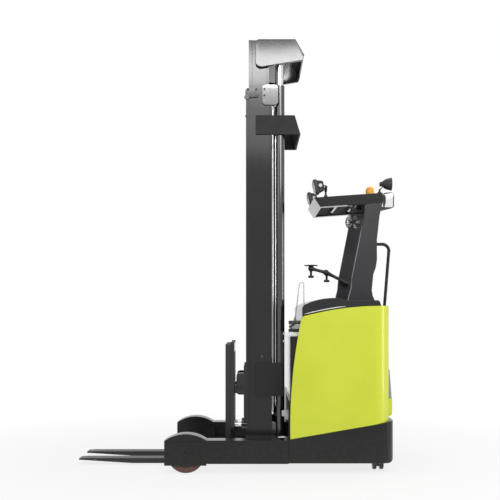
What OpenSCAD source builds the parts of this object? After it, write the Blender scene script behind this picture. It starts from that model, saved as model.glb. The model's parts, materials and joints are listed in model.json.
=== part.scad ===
// Stand-on reach truck with a three-stage mast, in millimetres.
// +X points to the rear, -X along the forks, -Y to the truck's left side, +Z up, with the floor at Z = 0.

/* [Straddle legs] */
// Width over both legs and over the body
truck_w = 1270; // [1240:2:1330]
// Width of one leg
leg_w = 137; // [132:1:150]
// Height of a leg's top face
leg_top = 246; // [240:1:256]
// Height of a leg's underside
leg_bottom = 72; // [64:1:84]
// Thickness of the plates beside a load wheel
leg_plate = 15; // [12:1:17]
// Height of the slot that the reach rollers run in
slot_h = 100; // [84:1:110]
// Depth of that slot
slot_d = 46; // [40:1:60]
// Front of the slot
slot_front_x = -190; // [-196:1:-170]

/* [Load wheels] */
// Position of the load axle
load_axle_x = -359; // [-370:1:-350]
// Diameter of a load wheel
load_d = 280; // [250:2:282]
// Width of a load wheel
load_w = 94; // [80:1:96]
// Diameter of a load wheel's hub
load_hub_d = 190; // [150:2:210]
// Diameter of the load axle
load_axle_d = 40; // [30:1:50]
// Front face of the wheel guard
guard_front_x = -518; // [-530:1:-512]
// Top of the wheel guard's arch
guard_top = 293; // [292:1:310]
// Radius of the wheel guard's arch
guard_r = 273; // [262:1:300]
// Height of the seam between the guard and the leg's plates
guard_seam = 237; // [225:1:239]
// Underside of the leg's wheel plates
guard_bottom = 59; // [50:1:70]
// Sheet thickness of the wheel guard
guard_t = 6; // [4:0.5:7]

/* [Chassis] */
// Front of the chassis, where the legs are welded on
chassis_front_x = 405; // [400:1:412]
// Rear face of the bumper
bumper_x = 1191; // [1186:1:1210]
// Radius of the bumper's corners in plan
bumper_r = 110; // [90:1:125]
// Radius of the bumper's lower edge
bumper_edge_r = 37; // [20:1:45]
// Underside of the chassis
chassis_bottom = 76; // [70:1:84]
// Thickness of the chassis floor
chassis_floor = 14; // [10:1:18]
// Thickness of the chassis side walls
chassis_wall = 14; // [10:1:18]
// Thickness of the rear wall behind the bumper
chassis_rear_wall = 46; // [40:1:60]
// Height of the chassis side at its front end
skirt_front_z = 254; // [248:1:270]
// Height of the chassis side at the bumper
skirt_rear_z = 388; // [370:1:400]
// Top of the shelf that carries the battery
shelf_z = 540; // [520:1:560]

/* [Body panels] */
// Thickness of the side panels
panel_t = 14; // [10:1:18]
// Front edge of a side panel, at its foot
panel_front_x = 416; // [412:1:425]
// Height where the panel's front edge stands upright
panel_front_z = 350; // [300:5:400]
// Radius of the panel's long front curve
panel_front_r = 3912; // [3000:50:6000]
// Rear face of a side panel
panel_rear_x = 1161; // [1155:1:1170]
// Radius of a side panel's rear corner in plan
panel_corner_r = 120; // [90:1:130]
// Height of the panel's top edge at the rear
panel_top = 1244; // [1220:1:1260]
// Position where the panel's top edge levels out
panel_crest_x = 1100; // [1050:5:1150]
// Radius of the panel's long top curve
panel_top_r = 2260; // [2000:20:3000]
// Thickness of the light trim strip under the hood
trim_t = 8; // [5:1:12]
// Nose of the hood
hood_front_x = 505; // [500:1:520]
// Rise of the hood's nose above the panels' tops
hood_nose_rise = 5; // [0:1:12]
// Rise of the hood at the dashboard
hood_rise = 58; // [50:1:80]
// Rise of the level tops beside the operator
arm_rise = 41; // [32:1:46]
// Rear end of the light trim strip
trim_rear_x = 830; // [780:5:900]
// Rear end of the hood beside the operator
shoulder_x = 1092; // [1086:1:1098]
// Radius of a side panel's upper front corner
panel_nose_r = 34; // [20:1:50]

/* [Operator compartment] */
// Width of the box between the compartment and the left side
left_box_w = 345; // [335:1:355]
// Width of the box between the compartment and the right side
right_box_w = 375; // [373:1:395]
// Inner front side of the compartment
cab_front_x = 770; // [765:1:790]
// Thickness of the compartment's walls
liner_t = 12; // [8:1:16]
// Height of the operator's floor
cab_floor_z = 254; // [235:1:260]
// Thickness of the floor plate
cab_floor_t = 24; // [16:1:30]
// Thickness of the rubber mat
mat_t = 8; // [5:1:14]

/* [Battery] */
// Front face of the battery
battery_front_x = 417; // [410:1:425]
// Length of the battery along the truck
battery_len = 310; // [280:2:320]
// Distance from the battery's side to the truck's side
battery_inset = 40; // [25:1:60]
// Top of the battery
battery_top = 1047; // [1000:1:1060]

/* [Overhead guard] */
// Distance from a column's outer face to the truck's side
column_inset = 225; // [215:1:255]
// Thickness of a column and of its side beam
column_t = 70; // [50:1:90]
// Front tip of the overhead guard
roof_front_x = 606; // [590:1:640]
// Rear end of the overhead guard
roof_rear_x = 1133; // [1125:1:1145]
// Height of the roof's front tip above the hood's level tops
roof_front_rise = 788; // [776:1:804]
// Height of the roof's rear end above them
roof_rear_rise = 825; // [816:1:844]
// Depth of the roof's side beams
roof_beam_h = 76; // [60:1:90]
// Thickness of the roof's front and rear plates
roof_plate_t = 10; // [6:1:14]
// Number of bars across the roof
roof_bars = 2; // [1:1:4]
// Diameter of the grab rail
rail_d = 24; // [20:1:30]
// Rear-most line of the grab rail's axis
rail_x = 1180; // [1172:1:1186]
// Height of the grab rail's upper run above the hood's level tops
rail_rise = 431; // [400:1:450]
// Radius of the grab rail's bend
rail_bend_r = 50; // [40:1:60]

/* [Mast] */
// Front face of the outer mast rails
mast_front_x = 85; // [80:1:90]
// Depth of the outer mast rails along the truck
mast_depth = 201; // [197:1:205]
// Width over the outer mast rails
mast_w = 670; // [660:2:690]
// Thickness of a rail's web
web_t = 12; // [10:0.5:13]
// Thickness of a rail's flanges
flange_t = 16; // [14:0.5:17]
// Width of a rail's flanges
flange_w = 80; // [76:1:84]
// Running clearance between two nested rails
rail_gap = 6; // [5:0.5:7]
// Sideways step from one rail to the next one inside it
rail_step = 19; // [17.5:0.5:21]
// Foot of the outer rails
mast_foot_z = 96; // [92:1:110]
// Drop from the mast's top to the outer rails' top
outer_drop = 405; // [380:1:430]
// Top of the middle and inner rails
mast_top = 3305; // [3280:1:3320]
// Lower end of the middle rails
middle_foot_z = 280; // [276:1:290]
// Lower end of the inner rails
inner_foot_z = 436; // [432:1:450]
// Position of the lift cylinders
lift_cyl_x = 348; // [344:1:352]
// Outer diameter of a lift cylinder's barrel
lift_barrel_d = 74; // [66:1:76]
// Diameter of a lift cylinder's rod
lift_rod_d = 50; // [40:1:54]
// Height of the lift cylinders' barrels above the outer rails
lift_barrel_rise = 54; // [30:2:70]
// Stroke of the middle stage, and of the inner stage in it
lift_stroke = 2100; // [1900:10:2150]
// Outer diameter of the free-lift barrel
free_barrel_d = 72; // [60:1:74]
// Diameter of the free-lift rod
free_rod_d = 48; // [40:1:52]
// Top of the free-lift barrel
free_barrel_top = 1610; // [1600:2:1640]
// Height of the chain sheaves' axis
sheave_z = 1740; // [1720:2:1780]
// Radius of a chain sheave, to the chain's middle
sheave_r = 42; // [36:1:44]
// Stroke of the free-lift cylinder, half of the carriage's free lift
free_stroke = 1040; // [980:10:1050]

/* [Reach drive] */
// Travel of the mast along the legs
reach_stroke = 560; // [500:5:570]
// Height of the reach cylinder
reach_cyl_z = 170; // [160:1:180]
// Outer diameter of the reach cylinder's barrel
reach_barrel_d = 72; // [60:1:80]
// Diameter of the reach cylinder's rod
reach_rod_d = 40; // [30:1:46]

/* [Forks] */
// Length of a fork from its face to its tip
fork_len = 1150; // [1000:10:1200]
// Front face of the fork shanks
fork_face_x = -77; // [-80:1:-74]
// Width of a fork
fork_w = 120; // [100:1:130]
// Thickness of a fork
fork_t = 40; // [35:1:45]
// Distance between the middles of the forks
fork_spread = 346; // [320:2:420]
// Underside of the forks
fork_bottom = 12; // [10:1:20]
// Thickness of a fork at its tip
fork_tip_t = 14; // [10:1:18]
// Top of the fork carriage
carriage_top = 963; // [940:1:980]
// Height of the fork carriage's tilt pivot
tilt_z = 605; // [590:1:620]
// Position of the tilt pivot
tilt_x = 34; // [30:1:38]
// Diameter of the tilt pivot's pin
tilt_pin_d = 28; // [24:1:32]
// Height of the tilt cylinders
tilt_cyl_z = 300; // [280:1:320]

/* [Drive and caster] */
// Position of the drive wheel's steering axis along the truck
drive_x = 885; // [880:1:890]
// Distance from that axis to the truck's right side
drive_inset = 183; // [181:1:185]
// Diameter of the drive wheel
drive_d = 300; // [280:2:304]
// Width of the drive wheel
drive_w = 100; // [90:1:104]
// Diameter of the drive wheel's hub
drive_hub_d = 190; // [160:2:220]
// Top of the drive unit's turntable
turntable_z = 379.7; // [375:0.1:384]
// Position of the caster's swivel axis along the truck
caster_x = 1090; // [1084:1:1092]
// Distance from the caster's swivel axis to the truck's left side
caster_inset = 219; // [213:1:225]
// Diameter of a caster wheel
caster_d = 110; // [100:1:112]
// Width over the twin caster wheels
caster_w = 80; // [70:1:82]
// Trail of the caster
caster_trail = 15; // [10:1:17]

/* [Hidden] */
$fn = 64;

lime = "#C8D23C";
black = "#2E2E30";
mast_black = "#404042";
steel = "#B8BABD";
tread_brown = "#6E4132";
rubber_black = "#1C1C1E";

// Radial running clearance of a shaft in its hole
run_gap = 0.05;
// Seat clearance of a roller, pad or sliding rod
seat_gap = 0.3;
// Overshoot of a cut past a face
cut = 2;

half_w = truck_w / 2;
hood_nose_z = panel_top + hood_nose_rise;
hood_top = panel_top + hood_rise;
arm_top = panel_top + arm_rise;
roof_front_z = arm_top + roof_front_rise;
roof_rear_z = arm_top + roof_rear_rise;
rail_top_z = arm_top + rail_rise;
outer_top = mast_top - outer_drop;
lift_barrel_top = outer_top + lift_barrel_rise;
cab_left_y = left_box_w - half_w;
cab_right_y = half_w - right_box_w;
battery_w = truck_w - 2 * battery_inset;
drive_y = half_w - drive_inset;
caster_y = caster_inset - half_w;
leg_in = half_w - leg_w;
load_r = load_d / 2;
leg_beam_x = load_axle_x + load_r + 14;
leg_rear_x = 705;
slot_z0 = (leg_bottom + leg_top - slot_h) / 2;
slot_mid_z = slot_z0 + slot_h / 2;
wheel_mid_y = half_w - leg_w / 2;
tub_floor_z = chassis_bottom + chassis_floor;
skirt_slope = (skirt_rear_z - skirt_front_z) / (bumper_x - panel_front_x);

module block(lo, hi) { translate(lo) cube(hi - lo); }
module both_sides() { children(); mirror([0, 1, 0]) children(); }
// An outline in X and Z, made into a plate from y0 to y1
module side_plate(y0, y1) { translate([0, y1, 0]) rotate([90, 0, 0]) linear_extrude(y1 - y0) children(); }
// An outline in X and Y, made into a plate from z0 to z1
module flat_plate(z0, z1) { translate([0, 0, z0]) linear_extrude(z1 - z0) children(); }
module bar_x(r, x0, x1) { translate([x0, 0, 0]) rotate([0, 90, 0]) cylinder(r = r, h = x1 - x0); }
module bar_y(r, y0, y1) { translate([0, y0, 0]) rotate([-90, 0, 0]) cylinder(r = r, h = y1 - y0); }
module bar_z(r, z0, z1) { translate([0, 0, z0]) cylinder(r = r, h = z1 - z0); }
module round_rect(lo, hi, r) {
    translate([lo[0] + r, lo[1]]) square([hi[0] - lo[0] - 2 * r, hi[1] - lo[1]]);
    translate([lo[0], lo[1] + r]) square([hi[0] - lo[0], hi[1] - lo[1] - 2 * r]);
    for (x = [lo[0] + r, hi[0] - r], y = [lo[1] + r, hi[1] - r]) translate([x, y]) circle(r);
}
// A wheel's ring between two radii, turned about Y, with rounded outer edges
module tyre_ring(r_in, r_out, w, edge) {
    rotate([90, 0, 0]) rotate_extrude() intersection() {
        round_rect([r_in - 2 * edge, -w / 2], [r_out, w / 2], edge);
        translate([r_in, -w]) square([r_out, 2 * w]);
    }
}
// A wheel's disc about Y with a bore and a recess in each face
module hub_disc(r, w, bore_r, dish) {
    rotate([90, 0, 0]) rotate_extrude() difference() {
        translate([bore_r, -w / 2]) square([r - bore_r, w]);
        for (s = [-1, 1]) translate([(r + bore_r) / 2 + 4, s * w / 2])
            square([r - bore_r - 28, 2 * dish], center = true);
    }
}

// Straddle legs, wheel guards and load wheels
module leg() {
    difference() {
        union() {
            block([leg_beam_x, leg_in, leg_bottom], [chassis_front_x, half_w, leg_top]);
            block([chassis_front_x - cut, leg_in, tub_floor_z], [leg_rear_x, half_w - chassis_wall,
                leg_top]);
            for (y = [leg_in, half_w - leg_plate])
                block([guard_front_x, y, guard_bottom], [leg_beam_x, y + leg_plate, guard_seam]);
            block([guard_front_x, leg_in, guard_bottom], [guard_front_x + guard_t, half_w, guard_seam]);
        }
        block([slot_front_x, leg_in - cut, slot_z0], [leg_rear_x + cut, leg_in + slot_d, slot_z0 + slot_h]);
        translate([load_axle_x, 0, load_r]) bar_y(load_axle_d / 2 + run_gap, leg_in - cut, half_w + cut);
    }
}
module straddle_legs() { color(black) both_sides() leg(); }

module guard_outline(r, low) {
    intersection() {
        translate([load_axle_x, guard_top - guard_r]) circle(r, $fn = 128);
        translate([guard_front_x, low]) square([leg_beam_x - guard_front_x, guard_r]);
    }
}
module wheel_guards() {
    color(black) both_sides() difference() {
        side_plate(leg_in, half_w) guard_outline(guard_r, guard_seam);
        side_plate(leg_in + guard_t, half_w - guard_t) guard_outline(guard_r - guard_t, guard_seam - cut);
    }
}
module load_axles() {
    color(steel) both_sides() translate([load_axle_x, 0, load_r]) bar_y(load_axle_d / 2, leg_in, half_w);
}
module at_load_wheel(side) { translate([load_axle_x, side * wheel_mid_y, load_r]) children(); }
module load_hub(side) {
    color(steel) at_load_wheel(side) hub_disc(load_hub_d / 2, load_w - 8, load_axle_d / 2 + run_gap, 16);
}
module load_tyre(side) { color(tread_brown) at_load_wheel(side)
    tyre_ring(load_hub_d / 2, load_r, load_w, 9); }
module load_hub_left() { load_hub(-1); }
module load_hub_right() { load_hub(1); }
module load_tyre_left() { load_tyre(-1); }
module load_tyre_right() { load_tyre(1); }

// Chassis
// Plan of the body from its front to a rear face, with rounded rear corners
module body_plan(front_x, rear_x, half, corner) {
    intersection() {
        round_rect([front_x - 3 * corner, -half], [rear_x, half], corner);
        translate([front_x, -half]) square([rear_x - front_x, 2 * half]);
    }
}
// Side outline below the sloping upper edge of the skirt, with the bumper's rounded lower edge
module skirt_outline() {
    r = bumper_edge_r;
    difference() {
        polygon([[chassis_front_x, chassis_bottom], [bumper_x, chassis_bottom], [bumper_x, skirt_rear_z],
            [panel_front_x, skirt_front_z], [chassis_front_x, skirt_front_z]]);
        difference() {
            translate([bumper_x - r, chassis_bottom - cut]) square([r + cut, r + cut]);
            translate([bumper_x - r, chassis_bottom + r]) circle(r);
        }
    }
}
shelf_t = 20;
cheek_gap = 4;
cheek_t = 10;
cheek_len = 130;
cheek_drop = 30;
shelf_rear_x = cab_front_x - liner_t;
bay_plate_z = turntable_z + seat_gap;
bay_plate_t = 15;
motor_r = 92;
drive_rib_y = cab_right_y + liner_t;
arm_out_y = leg_in - 12;
arm_in_y = arm_out_y - 20;
caster_bay_r = sqrt(pow(caster_trail + caster_d / 2, 2) + pow(caster_w / 2, 2)) + 5;
caster_bay_top = 178;
drive_bay_r = sqrt(pow(drive_d / 2, 2) + pow(drive_w / 2, 2)) + 8;
module chassis_frame() {
    color(black) difference() {
        union() {
            difference() {
                intersection() {
                    flat_plate(chassis_bottom, skirt_rear_z)
                        body_plan(chassis_front_x, bumper_x, half_w, bumper_r);
                    side_plate(-half_w, half_w) skirt_outline();
                }
                flat_plate(tub_floor_z, skirt_rear_z + cut)
                    body_plan(chassis_front_x + chassis_wall, bumper_x - chassis_rear_wall,
                        half_w - chassis_wall,
                        bumper_r - chassis_wall);
            }
            // Battery shelf on two cross walls
            half_in = half_w - chassis_wall;
            block([chassis_front_x, -half_in, shelf_z - shelf_t], [shelf_rear_x, half_in, shelf_z]);
            for (x = [chassis_front_x, shelf_rear_x - chassis_wall])
                block([x, -half_in, chassis_bottom], [x + chassis_wall, half_in, shelf_z]);
            // Cheek plates that keep the battery from sliding out sideways
            both_sides() block([battery_front_x, battery_w / 2 + cheek_gap, shelf_z - shelf_t],
                [battery_front_x + cheek_len, battery_w / 2 + cheek_gap + cheek_t,
                    battery_top - cheek_drop]);
            // Ribs under the operator's floor, and the drive unit's carrier plate
            block([shelf_rear_x - chassis_wall, cab_left_y - 2 * liner_t, chassis_bottom],
                [bumper_x - chassis_rear_wall, cab_left_y - liner_t, cab_floor_z]);
            block([shelf_rear_x - chassis_wall, drive_rib_y, chassis_bottom],
                [bumper_x - chassis_rear_wall, drive_rib_y + liner_t, bay_plate_z + bay_plate_t]);
            block([shelf_rear_x - chassis_wall, drive_rib_y, bay_plate_z],
                [panel_rear_x - panel_corner_r, half_in, bay_plate_z + bay_plate_t]);
            // Caster block at the left rear corner
            block([caster_x - caster_bay_r - chassis_wall, -half_in, chassis_bottom],
                [bumper_x - chassis_rear_wall, cab_left_y - liner_t, caster_bay_top + bay_plate_t]);
            // Floor beams
            for (x = [cab_front_x + 40, bumper_x - chassis_rear_wall - 60])
                block([x, cab_left_y - liner_t, chassis_bottom], [x + chassis_wall, drive_rib_y,
                    cab_floor_z - cab_floor_t]);
        }
        // Step into the compartment
        block([bumper_x - chassis_rear_wall - cut, cab_left_y, cab_floor_z], [bumper_x + cut,
            cab_right_y, skirt_rear_z + cut]);
        // Room for the steered drive wheel, its motor and the caster
        translate([drive_x, drive_y, 0]) bar_z(drive_bay_r, 0, turntable_z - 60);
        translate([drive_x, drive_y, 0]) bar_z(motor_r + 5, 0, bay_plate_z + bay_plate_t + cut);
        translate([caster_x, caster_y, 0]) bar_z(caster_bay_r, 0, caster_bay_top);
        translate([caster_x, caster_y, 0])
            bar_z(caster_stem_r + run_gap, 0, caster_bay_top + bay_plate_t + cut);
        // Windows for the legs' channels and the mast carriage's arms
        both_sides() block([chassis_front_x - cut, arm_in_y - 6, tub_floor_z],
            [chassis_front_x + chassis_wall + cut, half_w - chassis_wall, leg_top + 6]);
        // Way in for the reach cylinder
        translate([0, 0, reach_cyl_z])
            bar_x(reach_barrel_d / 2 + run_gap, chassis_front_x - cut, bumper_x - chassis_rear_wall - 30);
    }
}

// Body panels
module panel_plan(inset) {
    body_plan(panel_front_x - 100, panel_rear_x - inset, half_w - inset, panel_corner_r - inset);
}
// Region under the panel's long top curve, raised by lift
module under_top_curve(lift) {
    intersection() {
        union() {
            translate([panel_crest_x, panel_top - panel_top_r]) circle(panel_top_r + lift, $fn = 256);
            translate([panel_crest_x, 0]) square([panel_rear_x, panel_top + lift]);
        }
        translate([panel_front_x, 0]) square([panel_rear_x, panel_top + lift]);
    }
}
// Middles of the panel's front and top curves, and a point where circles about them meet
front_mid = [panel_front_x + panel_front_r, panel_front_z];
top_mid = [panel_crest_x, panel_top - panel_top_r];
function curves_meet(r1, r2) = let (d = norm(top_mid - front_mid), u = (top_mid - front_mid) / d,
    a = (r1 * r1 - r2 * r2 + d * d) / (2 * d), h = sqrt(r1 * r1 - a * a))
        front_mid + a * u + h * [u[1], -u[0]];
panel_nose = curves_meet(panel_front_r, panel_top_r);
nose_mid = curves_meet(panel_front_r - panel_nose_r, panel_top_r - panel_nose_r);
function nose_tangent(mid) = nose_mid + panel_nose_r * (nose_mid - mid) / norm(nose_mid - mid);
module panel_outline() {
    difference() {
        intersection() {
            under_top_curve(0);
            translate(front_mid) circle(panel_front_r, $fn = 256);
            polygon([[panel_front_x, skirt_front_z],
                [panel_rear_x, skirt_front_z + skirt_slope * (panel_rear_x - panel_front_x)],
                [panel_rear_x, panel_top], [panel_front_x, panel_top]]);
        }
        difference() {
            polygon([nose_tangent(front_mid), panel_nose + [-cut, cut], nose_tangent(top_mid), nose_mid]);
            translate(nose_mid) circle(panel_nose_r);
        }
    }
}
module panel_wall() {
    difference() {
        panel_plan(0);
        panel_plan(panel_t);
    }
}
module side_half(side) {
    y = side < 0 ? cab_left_y : cab_right_y;
    translate([0, side < 0 ? -truck_w : y]) square([2 * panel_rear_x, side < 0 ? truck_w + y : truck_w]);
}
apron_x = 1189;
apron_z0 = 415;
apron_z1 = 546;
pad_top_z = 764;
// Span of the rear face beside the entry
module rear_face(side) {
    y0 = side < 0 ? panel_corner_r - half_w : cab_right_y;
    y1 = side < 0 ? cab_left_y : half_w - panel_corner_r;
    side_plate(y0, y1) children();
}
module side_panel(side) {
    color(lime) {
        intersection() {
            side_plate(-half_w, half_w) panel_outline();
            flat_plate(0, panel_top) intersection() { panel_wall(); side_half(side); }
        }
        // Shoulder behind the hood, and the apron on the rear face
        flat_plate(panel_top - panel_t, panel_top) intersection() {
            panel_plan(0);
            side_half(side);
            translate([shoulder_x, -truck_w]) square(2 * truck_w);
        }
        rear_face(side) polygon([[panel_rear_x - cut, apron_z0], [apron_x - 14, apron_z0], [apron_x,
            apron_z0 + 14],
            [apron_x, apron_z1], [panel_rear_x - cut, apron_z1]]);
    }
}
module rear_pads() {
    color("#9A9CA4") for (side = [-1, 1]) rear_face(side)
        polygon([[panel_rear_x, apron_z1], [apron_x - 4, apron_z1], [panel_rear_x + 8, pad_top_z],
            [panel_rear_x, pad_top_z]]);
}
module side_panel_left() { side_panel(-1); }
module side_panel_right() { side_panel(1); }
module hood_trim() {
    color("#C9CBCD") intersection() {
        side_plate(-half_w, half_w) difference() {
            under_top_curve(trim_t);
            under_top_curve(0);
            square([hood_front_x + 12, panel_top + trim_t]);
            translate([trim_rear_x, 0]) square([panel_rear_x, panel_top + 2 * trim_t]);
        }
        flat_plate(0, panel_top + trim_t) intersection() {
            panel_wall();
            union() { side_half(-1); side_half(1); }
        }
    }
}
hood_skirt = 130;
module hood_outline() {
    difference() {
        polygon([[hood_front_x, panel_top - hood_skirt], [hood_front_x, hood_nose_z - 20],
            [hood_front_x + 12, hood_nose_z],
            [hood_front_x + 60, hood_nose_z + 22], [hood_front_x + 110, hood_top - 16], [hood_front_x
                + 160, hood_top - 5],
            [hood_front_x + 215, hood_top], [cab_front_x, hood_top], [cab_front_x + 60, arm_top],
                [shoulder_x - 20, arm_top],
            [shoulder_x - 8, arm_top - 14], [shoulder_x, panel_top], [shoulder_x, panel_top - hood_skirt]]);
        under_top_curve(0);
        intersection() {
            under_top_curve(trim_t);
            square([trim_rear_x, panel_top + trim_t]);
        }
    }
}
module hood() {
    apron_y = half_w - panel_t - 8;
    color(black) difference() {
        union() {
            intersection() {
                side_plate(-half_w, half_w) hood_outline();
                flat_plate(0, hood_top) panel_plan(3);
            }
            block([hood_front_x + 2, -apron_y, battery_top + 40], [hood_front_x + 12, apron_y,
                hood_nose_z - 30]);
        }
        block([cab_front_x, cab_left_y, 0], [panel_rear_x + cut, cab_right_y, hood_top + cut]);
    }
}

// Battery
module battery() {
    half = battery_w / 2;
    lid = 24;
    color("#E4E2DA") {
        block([battery_front_x, -half, shelf_z], [battery_front_x + battery_len, half, battery_top - lid]);
        block([battery_front_x + lid, -half + lid, battery_top - lid],
            [battery_front_x + battery_len - lid, half - lid, battery_top]);
    }
}
plug_inset = 35;
plug_w = 120;
plug_h = 86;
plug_cheek = 20;
module battery_connector() {
    left = plug_inset - battery_w / 2;
    right = left + plug_w;
    color(rubber_black) difference() {
        block([battery_front_x + 24, left, battery_top], [battery_front_x + 80, right, battery_top + plug_h]);
        block([battery_front_x + 10, left + plug_cheek, battery_top + 36],
            [battery_front_x + 40, right - plug_cheek, battery_top + plug_h - 16]);
    }
}
// Bent wire above the battery: up from the lid at a lean, round a bow and down into the hood
loop_x = hood_front_x + 6;
loop_gap = 10;
loop_y = plug_inset + plug_w + loop_gap - battery_w / 2;
loop_r = 17;
loop_lean = 48;
loop_wire_r = 4;
// The bow is thinner than the strands that hold its ends
loop_bow_r = loop_wire_r - 0.6;
loop_top_z = panel_top + 180;
module cable_loop() {
    bow = [loop_x, loop_y, loop_top_z - loop_r];
    foot = [loop_x - loop_r - loop_lean, loop_y, battery_top - 10];
    color(steel) difference() {
        union() {
            translate(bow) rotate([90, 0, 0]) rotate_extrude(angle = 180) translate([loop_r, 0])
                circle(loop_bow_r);
            translate([loop_x + loop_r, loop_y, 0]) bar_z(loop_wire_r, hood_nose_z - 20, bow[2] + 1);
            arm_bar(foot, bow - [loop_r, 0, -1], loop_wire_r);
        }
        side_plate(loop_y - 10, loop_y + 10) hood_outline();
        block(foot - [20, 20, 20], [foot[0] + 20, loop_y + 20, battery_top]);
    }
}

// Operator compartment
wall_top = panel_top - 60;
wall_rear_x = min(panel_rear_x - panel_t, bumper_x - chassis_rear_wall);
console_len = 150;
console_drop = 100;
console_tilt = atan2(console_drop, console_len);
// A point on the console's sloping top, turned to stand on it
module on_console(along, y) {
    translate([cab_front_x + along, y, wall_top - along * console_drop / console_len])
        rotate([0, console_tilt, 0]) children();
}
module compartment_walls() {
    y0 = cab_left_y - liner_t;
    y1 = cab_right_y + liner_t;
    color(black) difference() {
        block([cab_front_x - liner_t, y0, cab_floor_z], [wall_rear_x, y1, wall_top]);
        block([cab_front_x, cab_left_y, cab_floor_z - cut], [panel_rear_x, cab_right_y, wall_top + cut]);
    }
    // Console under the dashboard
    color(black) side_plate(cab_left_y, cab_right_y)
        polygon([[cab_front_x, wall_top - 260], [cab_front_x + console_len, wall_top - console_drop - 40],
            [cab_front_x + console_len, wall_top - console_drop], [cab_front_x, wall_top]]);
}
module operator_floor() {
    color(mast_black) block([shelf_rear_x, cab_left_y - liner_t, cab_floor_z - cab_floor_t],
        [bumper_x - chassis_rear_wall, cab_right_y + liner_t, cab_floor_z]);
}
module floor_mat() {
    color(rubber_black) block([cab_front_x + 4, cab_left_y + 4, cab_floor_z], [bumper_x - 20,
        cab_right_y - 4, cab_floor_z + mat_t]);
}
steer_r = 80;
// Places across the console, as shares of the compartment's width
cab_w = cab_right_y - cab_left_y;
steer_y = cab_left_y + cab_w * 16 / 55;
lever_y = cab_left_y + cab_w * 7 / 11;
lever_pitch = cab_w / 10;
module steering_wheel() {
    color(rubber_black) on_console(78, steer_y) {
        translate([0, 0, 48]) rotate_extrude() translate([steer_r, 0]) circle(11);
        bar_z(22, 40, 56);
        for (a = [90, 210, 330]) rotate(a) translate([0, -8, 44]) cube([steer_r, 16, 8]);
        translate([steer_r, 0, 52]) bar_z(14, 0, 40);
        bar_z(12, seat_gap, 41);
    }
}
module control_levers() {
    color(rubber_black) for (i = [0:2]) on_console(80, lever_y + i * lever_pitch) {
        bar_z(7, 0, 70);
        translate([0, 0, 78]) sphere(16);
    }
}

// Overhead guard
roof_slope = (roof_rear_z - roof_front_z) / (roof_rear_x - roof_front_x);
function roof_top_at(x) = roof_front_z + roof_slope * (x - roof_front_x);
function roof_low_at(x) = roof_top_at(x) - roof_beam_h;
roof_cut = 49;
roof_tail = 60;
roof_bar_pitch = (roof_rear_x - roof_tail - roof_front_x - roof_cut) / (roof_bars + 1);
function roof_bar_x(i) = roof_front_x + roof_cut + i * roof_bar_pitch;
column_y = half_w - column_inset - column_t;
column_rear_x = 1088;
// Column outline above the hood. The right column carries the arm, and its front edge lies forward by lead
module column_outline(lead) {
    polygon([[max(868 - 1.5 * lead, cab_front_x + 60), arm_top], [894 - lead, arm_top + 100],
        [901 - lead, arm_top + 181],
        [970 - lead, arm_top + 531], [1010 - lead, roof_low_at(1010 - lead) - run_gap],
        [roof_rear_x, roof_low_at(roof_rear_x) - run_gap], [1109, arm_top + 655], [column_rear_x,
            arm_top + 464],
        [column_rear_x, arm_top + 385], [1089, arm_top + 315], [1080, arm_top + 255], [1060, arm_top + 198],
        [1049, arm_top + 79], [1056, arm_top + 38], [1072, arm_top]]);
}
column_lead = 40;
module guard_columns() {
    color(mast_black) {
        side_plate(-column_y - column_t, -column_y) column_outline(0);
        side_plate(column_y + column_t / 2, column_y + column_t) column_outline(0);
        side_plate(column_y, column_y + column_t / 2) column_outline(column_lead);
    }
}
module overhead_guard() {
    color(black) {
        both_sides() side_plate(column_y, column_y + column_t)
            polygon([[roof_front_x, roof_front_z], [roof_front_x + roof_cut, roof_low_at(roof_front_x
                + roof_cut)],
                [roof_rear_x, roof_low_at(roof_rear_x)], [roof_rear_x, roof_rear_z]]);
        side_plate(-column_y, column_y) polygon([[roof_front_x, roof_front_z],
            [roof_front_x + roof_cut, roof_low_at(roof_front_x + roof_cut)],
            [roof_front_x + roof_cut + roof_plate_t, roof_low_at(roof_front_x + roof_cut)],
            [roof_front_x + roof_plate_t, roof_top_at(roof_front_x + roof_plate_t)]]);
        block([roof_rear_x - roof_tail, -column_y, roof_low_at(roof_rear_x - roof_tail)
            + 10], [roof_rear_x, column_y, roof_top_at(roof_rear_x - roof_tail)]);
        for (i = [1:roof_bars]) let (x = roof_bar_x(i))
            block([x - 10, -column_y, roof_low_at(x) + 14], [x + 10, column_y, roof_top_at(x) - 12]);
    }
}
rail_y = -column_y - column_t + rail_d / 2;
rail_lean = 4.5;
module grab_rail() {
    drop = (rail_top_z - rail_bend_r - panel_top - (rail_bend_r
        + rail_d / 2) * sin(rail_lean)) / cos(rail_lean);
    sleeve_r = rail_d / 2 + 1;
    color(black) translate([0, rail_y, 0]) {
        translate([0, 0, rail_top_z]) {
            bar_x(rail_d / 2, column_rear_x, rail_x - rail_bend_r - 2);
            bar_x(sleeve_r, rail_x - rail_bend_r - 6, rail_x - rail_bend_r + 4);
        }
        translate([rail_x - rail_bend_r, 0, rail_top_z - rail_bend_r]) {
            rotate([90, 0, 0]) rotate([0, 0, -rail_lean]) rotate_extrude(angle = 90 + rail_lean)
                translate([rail_bend_r, 0]) circle(rail_d / 2);
            rotate([0, rail_lean, 0]) translate([rail_bend_r, 0, 0]) {
                bar_z(rail_d / 2, -drop, -2);
                bar_z(sleeve_r, -6, 4);
            }
        }
    }
}

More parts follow.
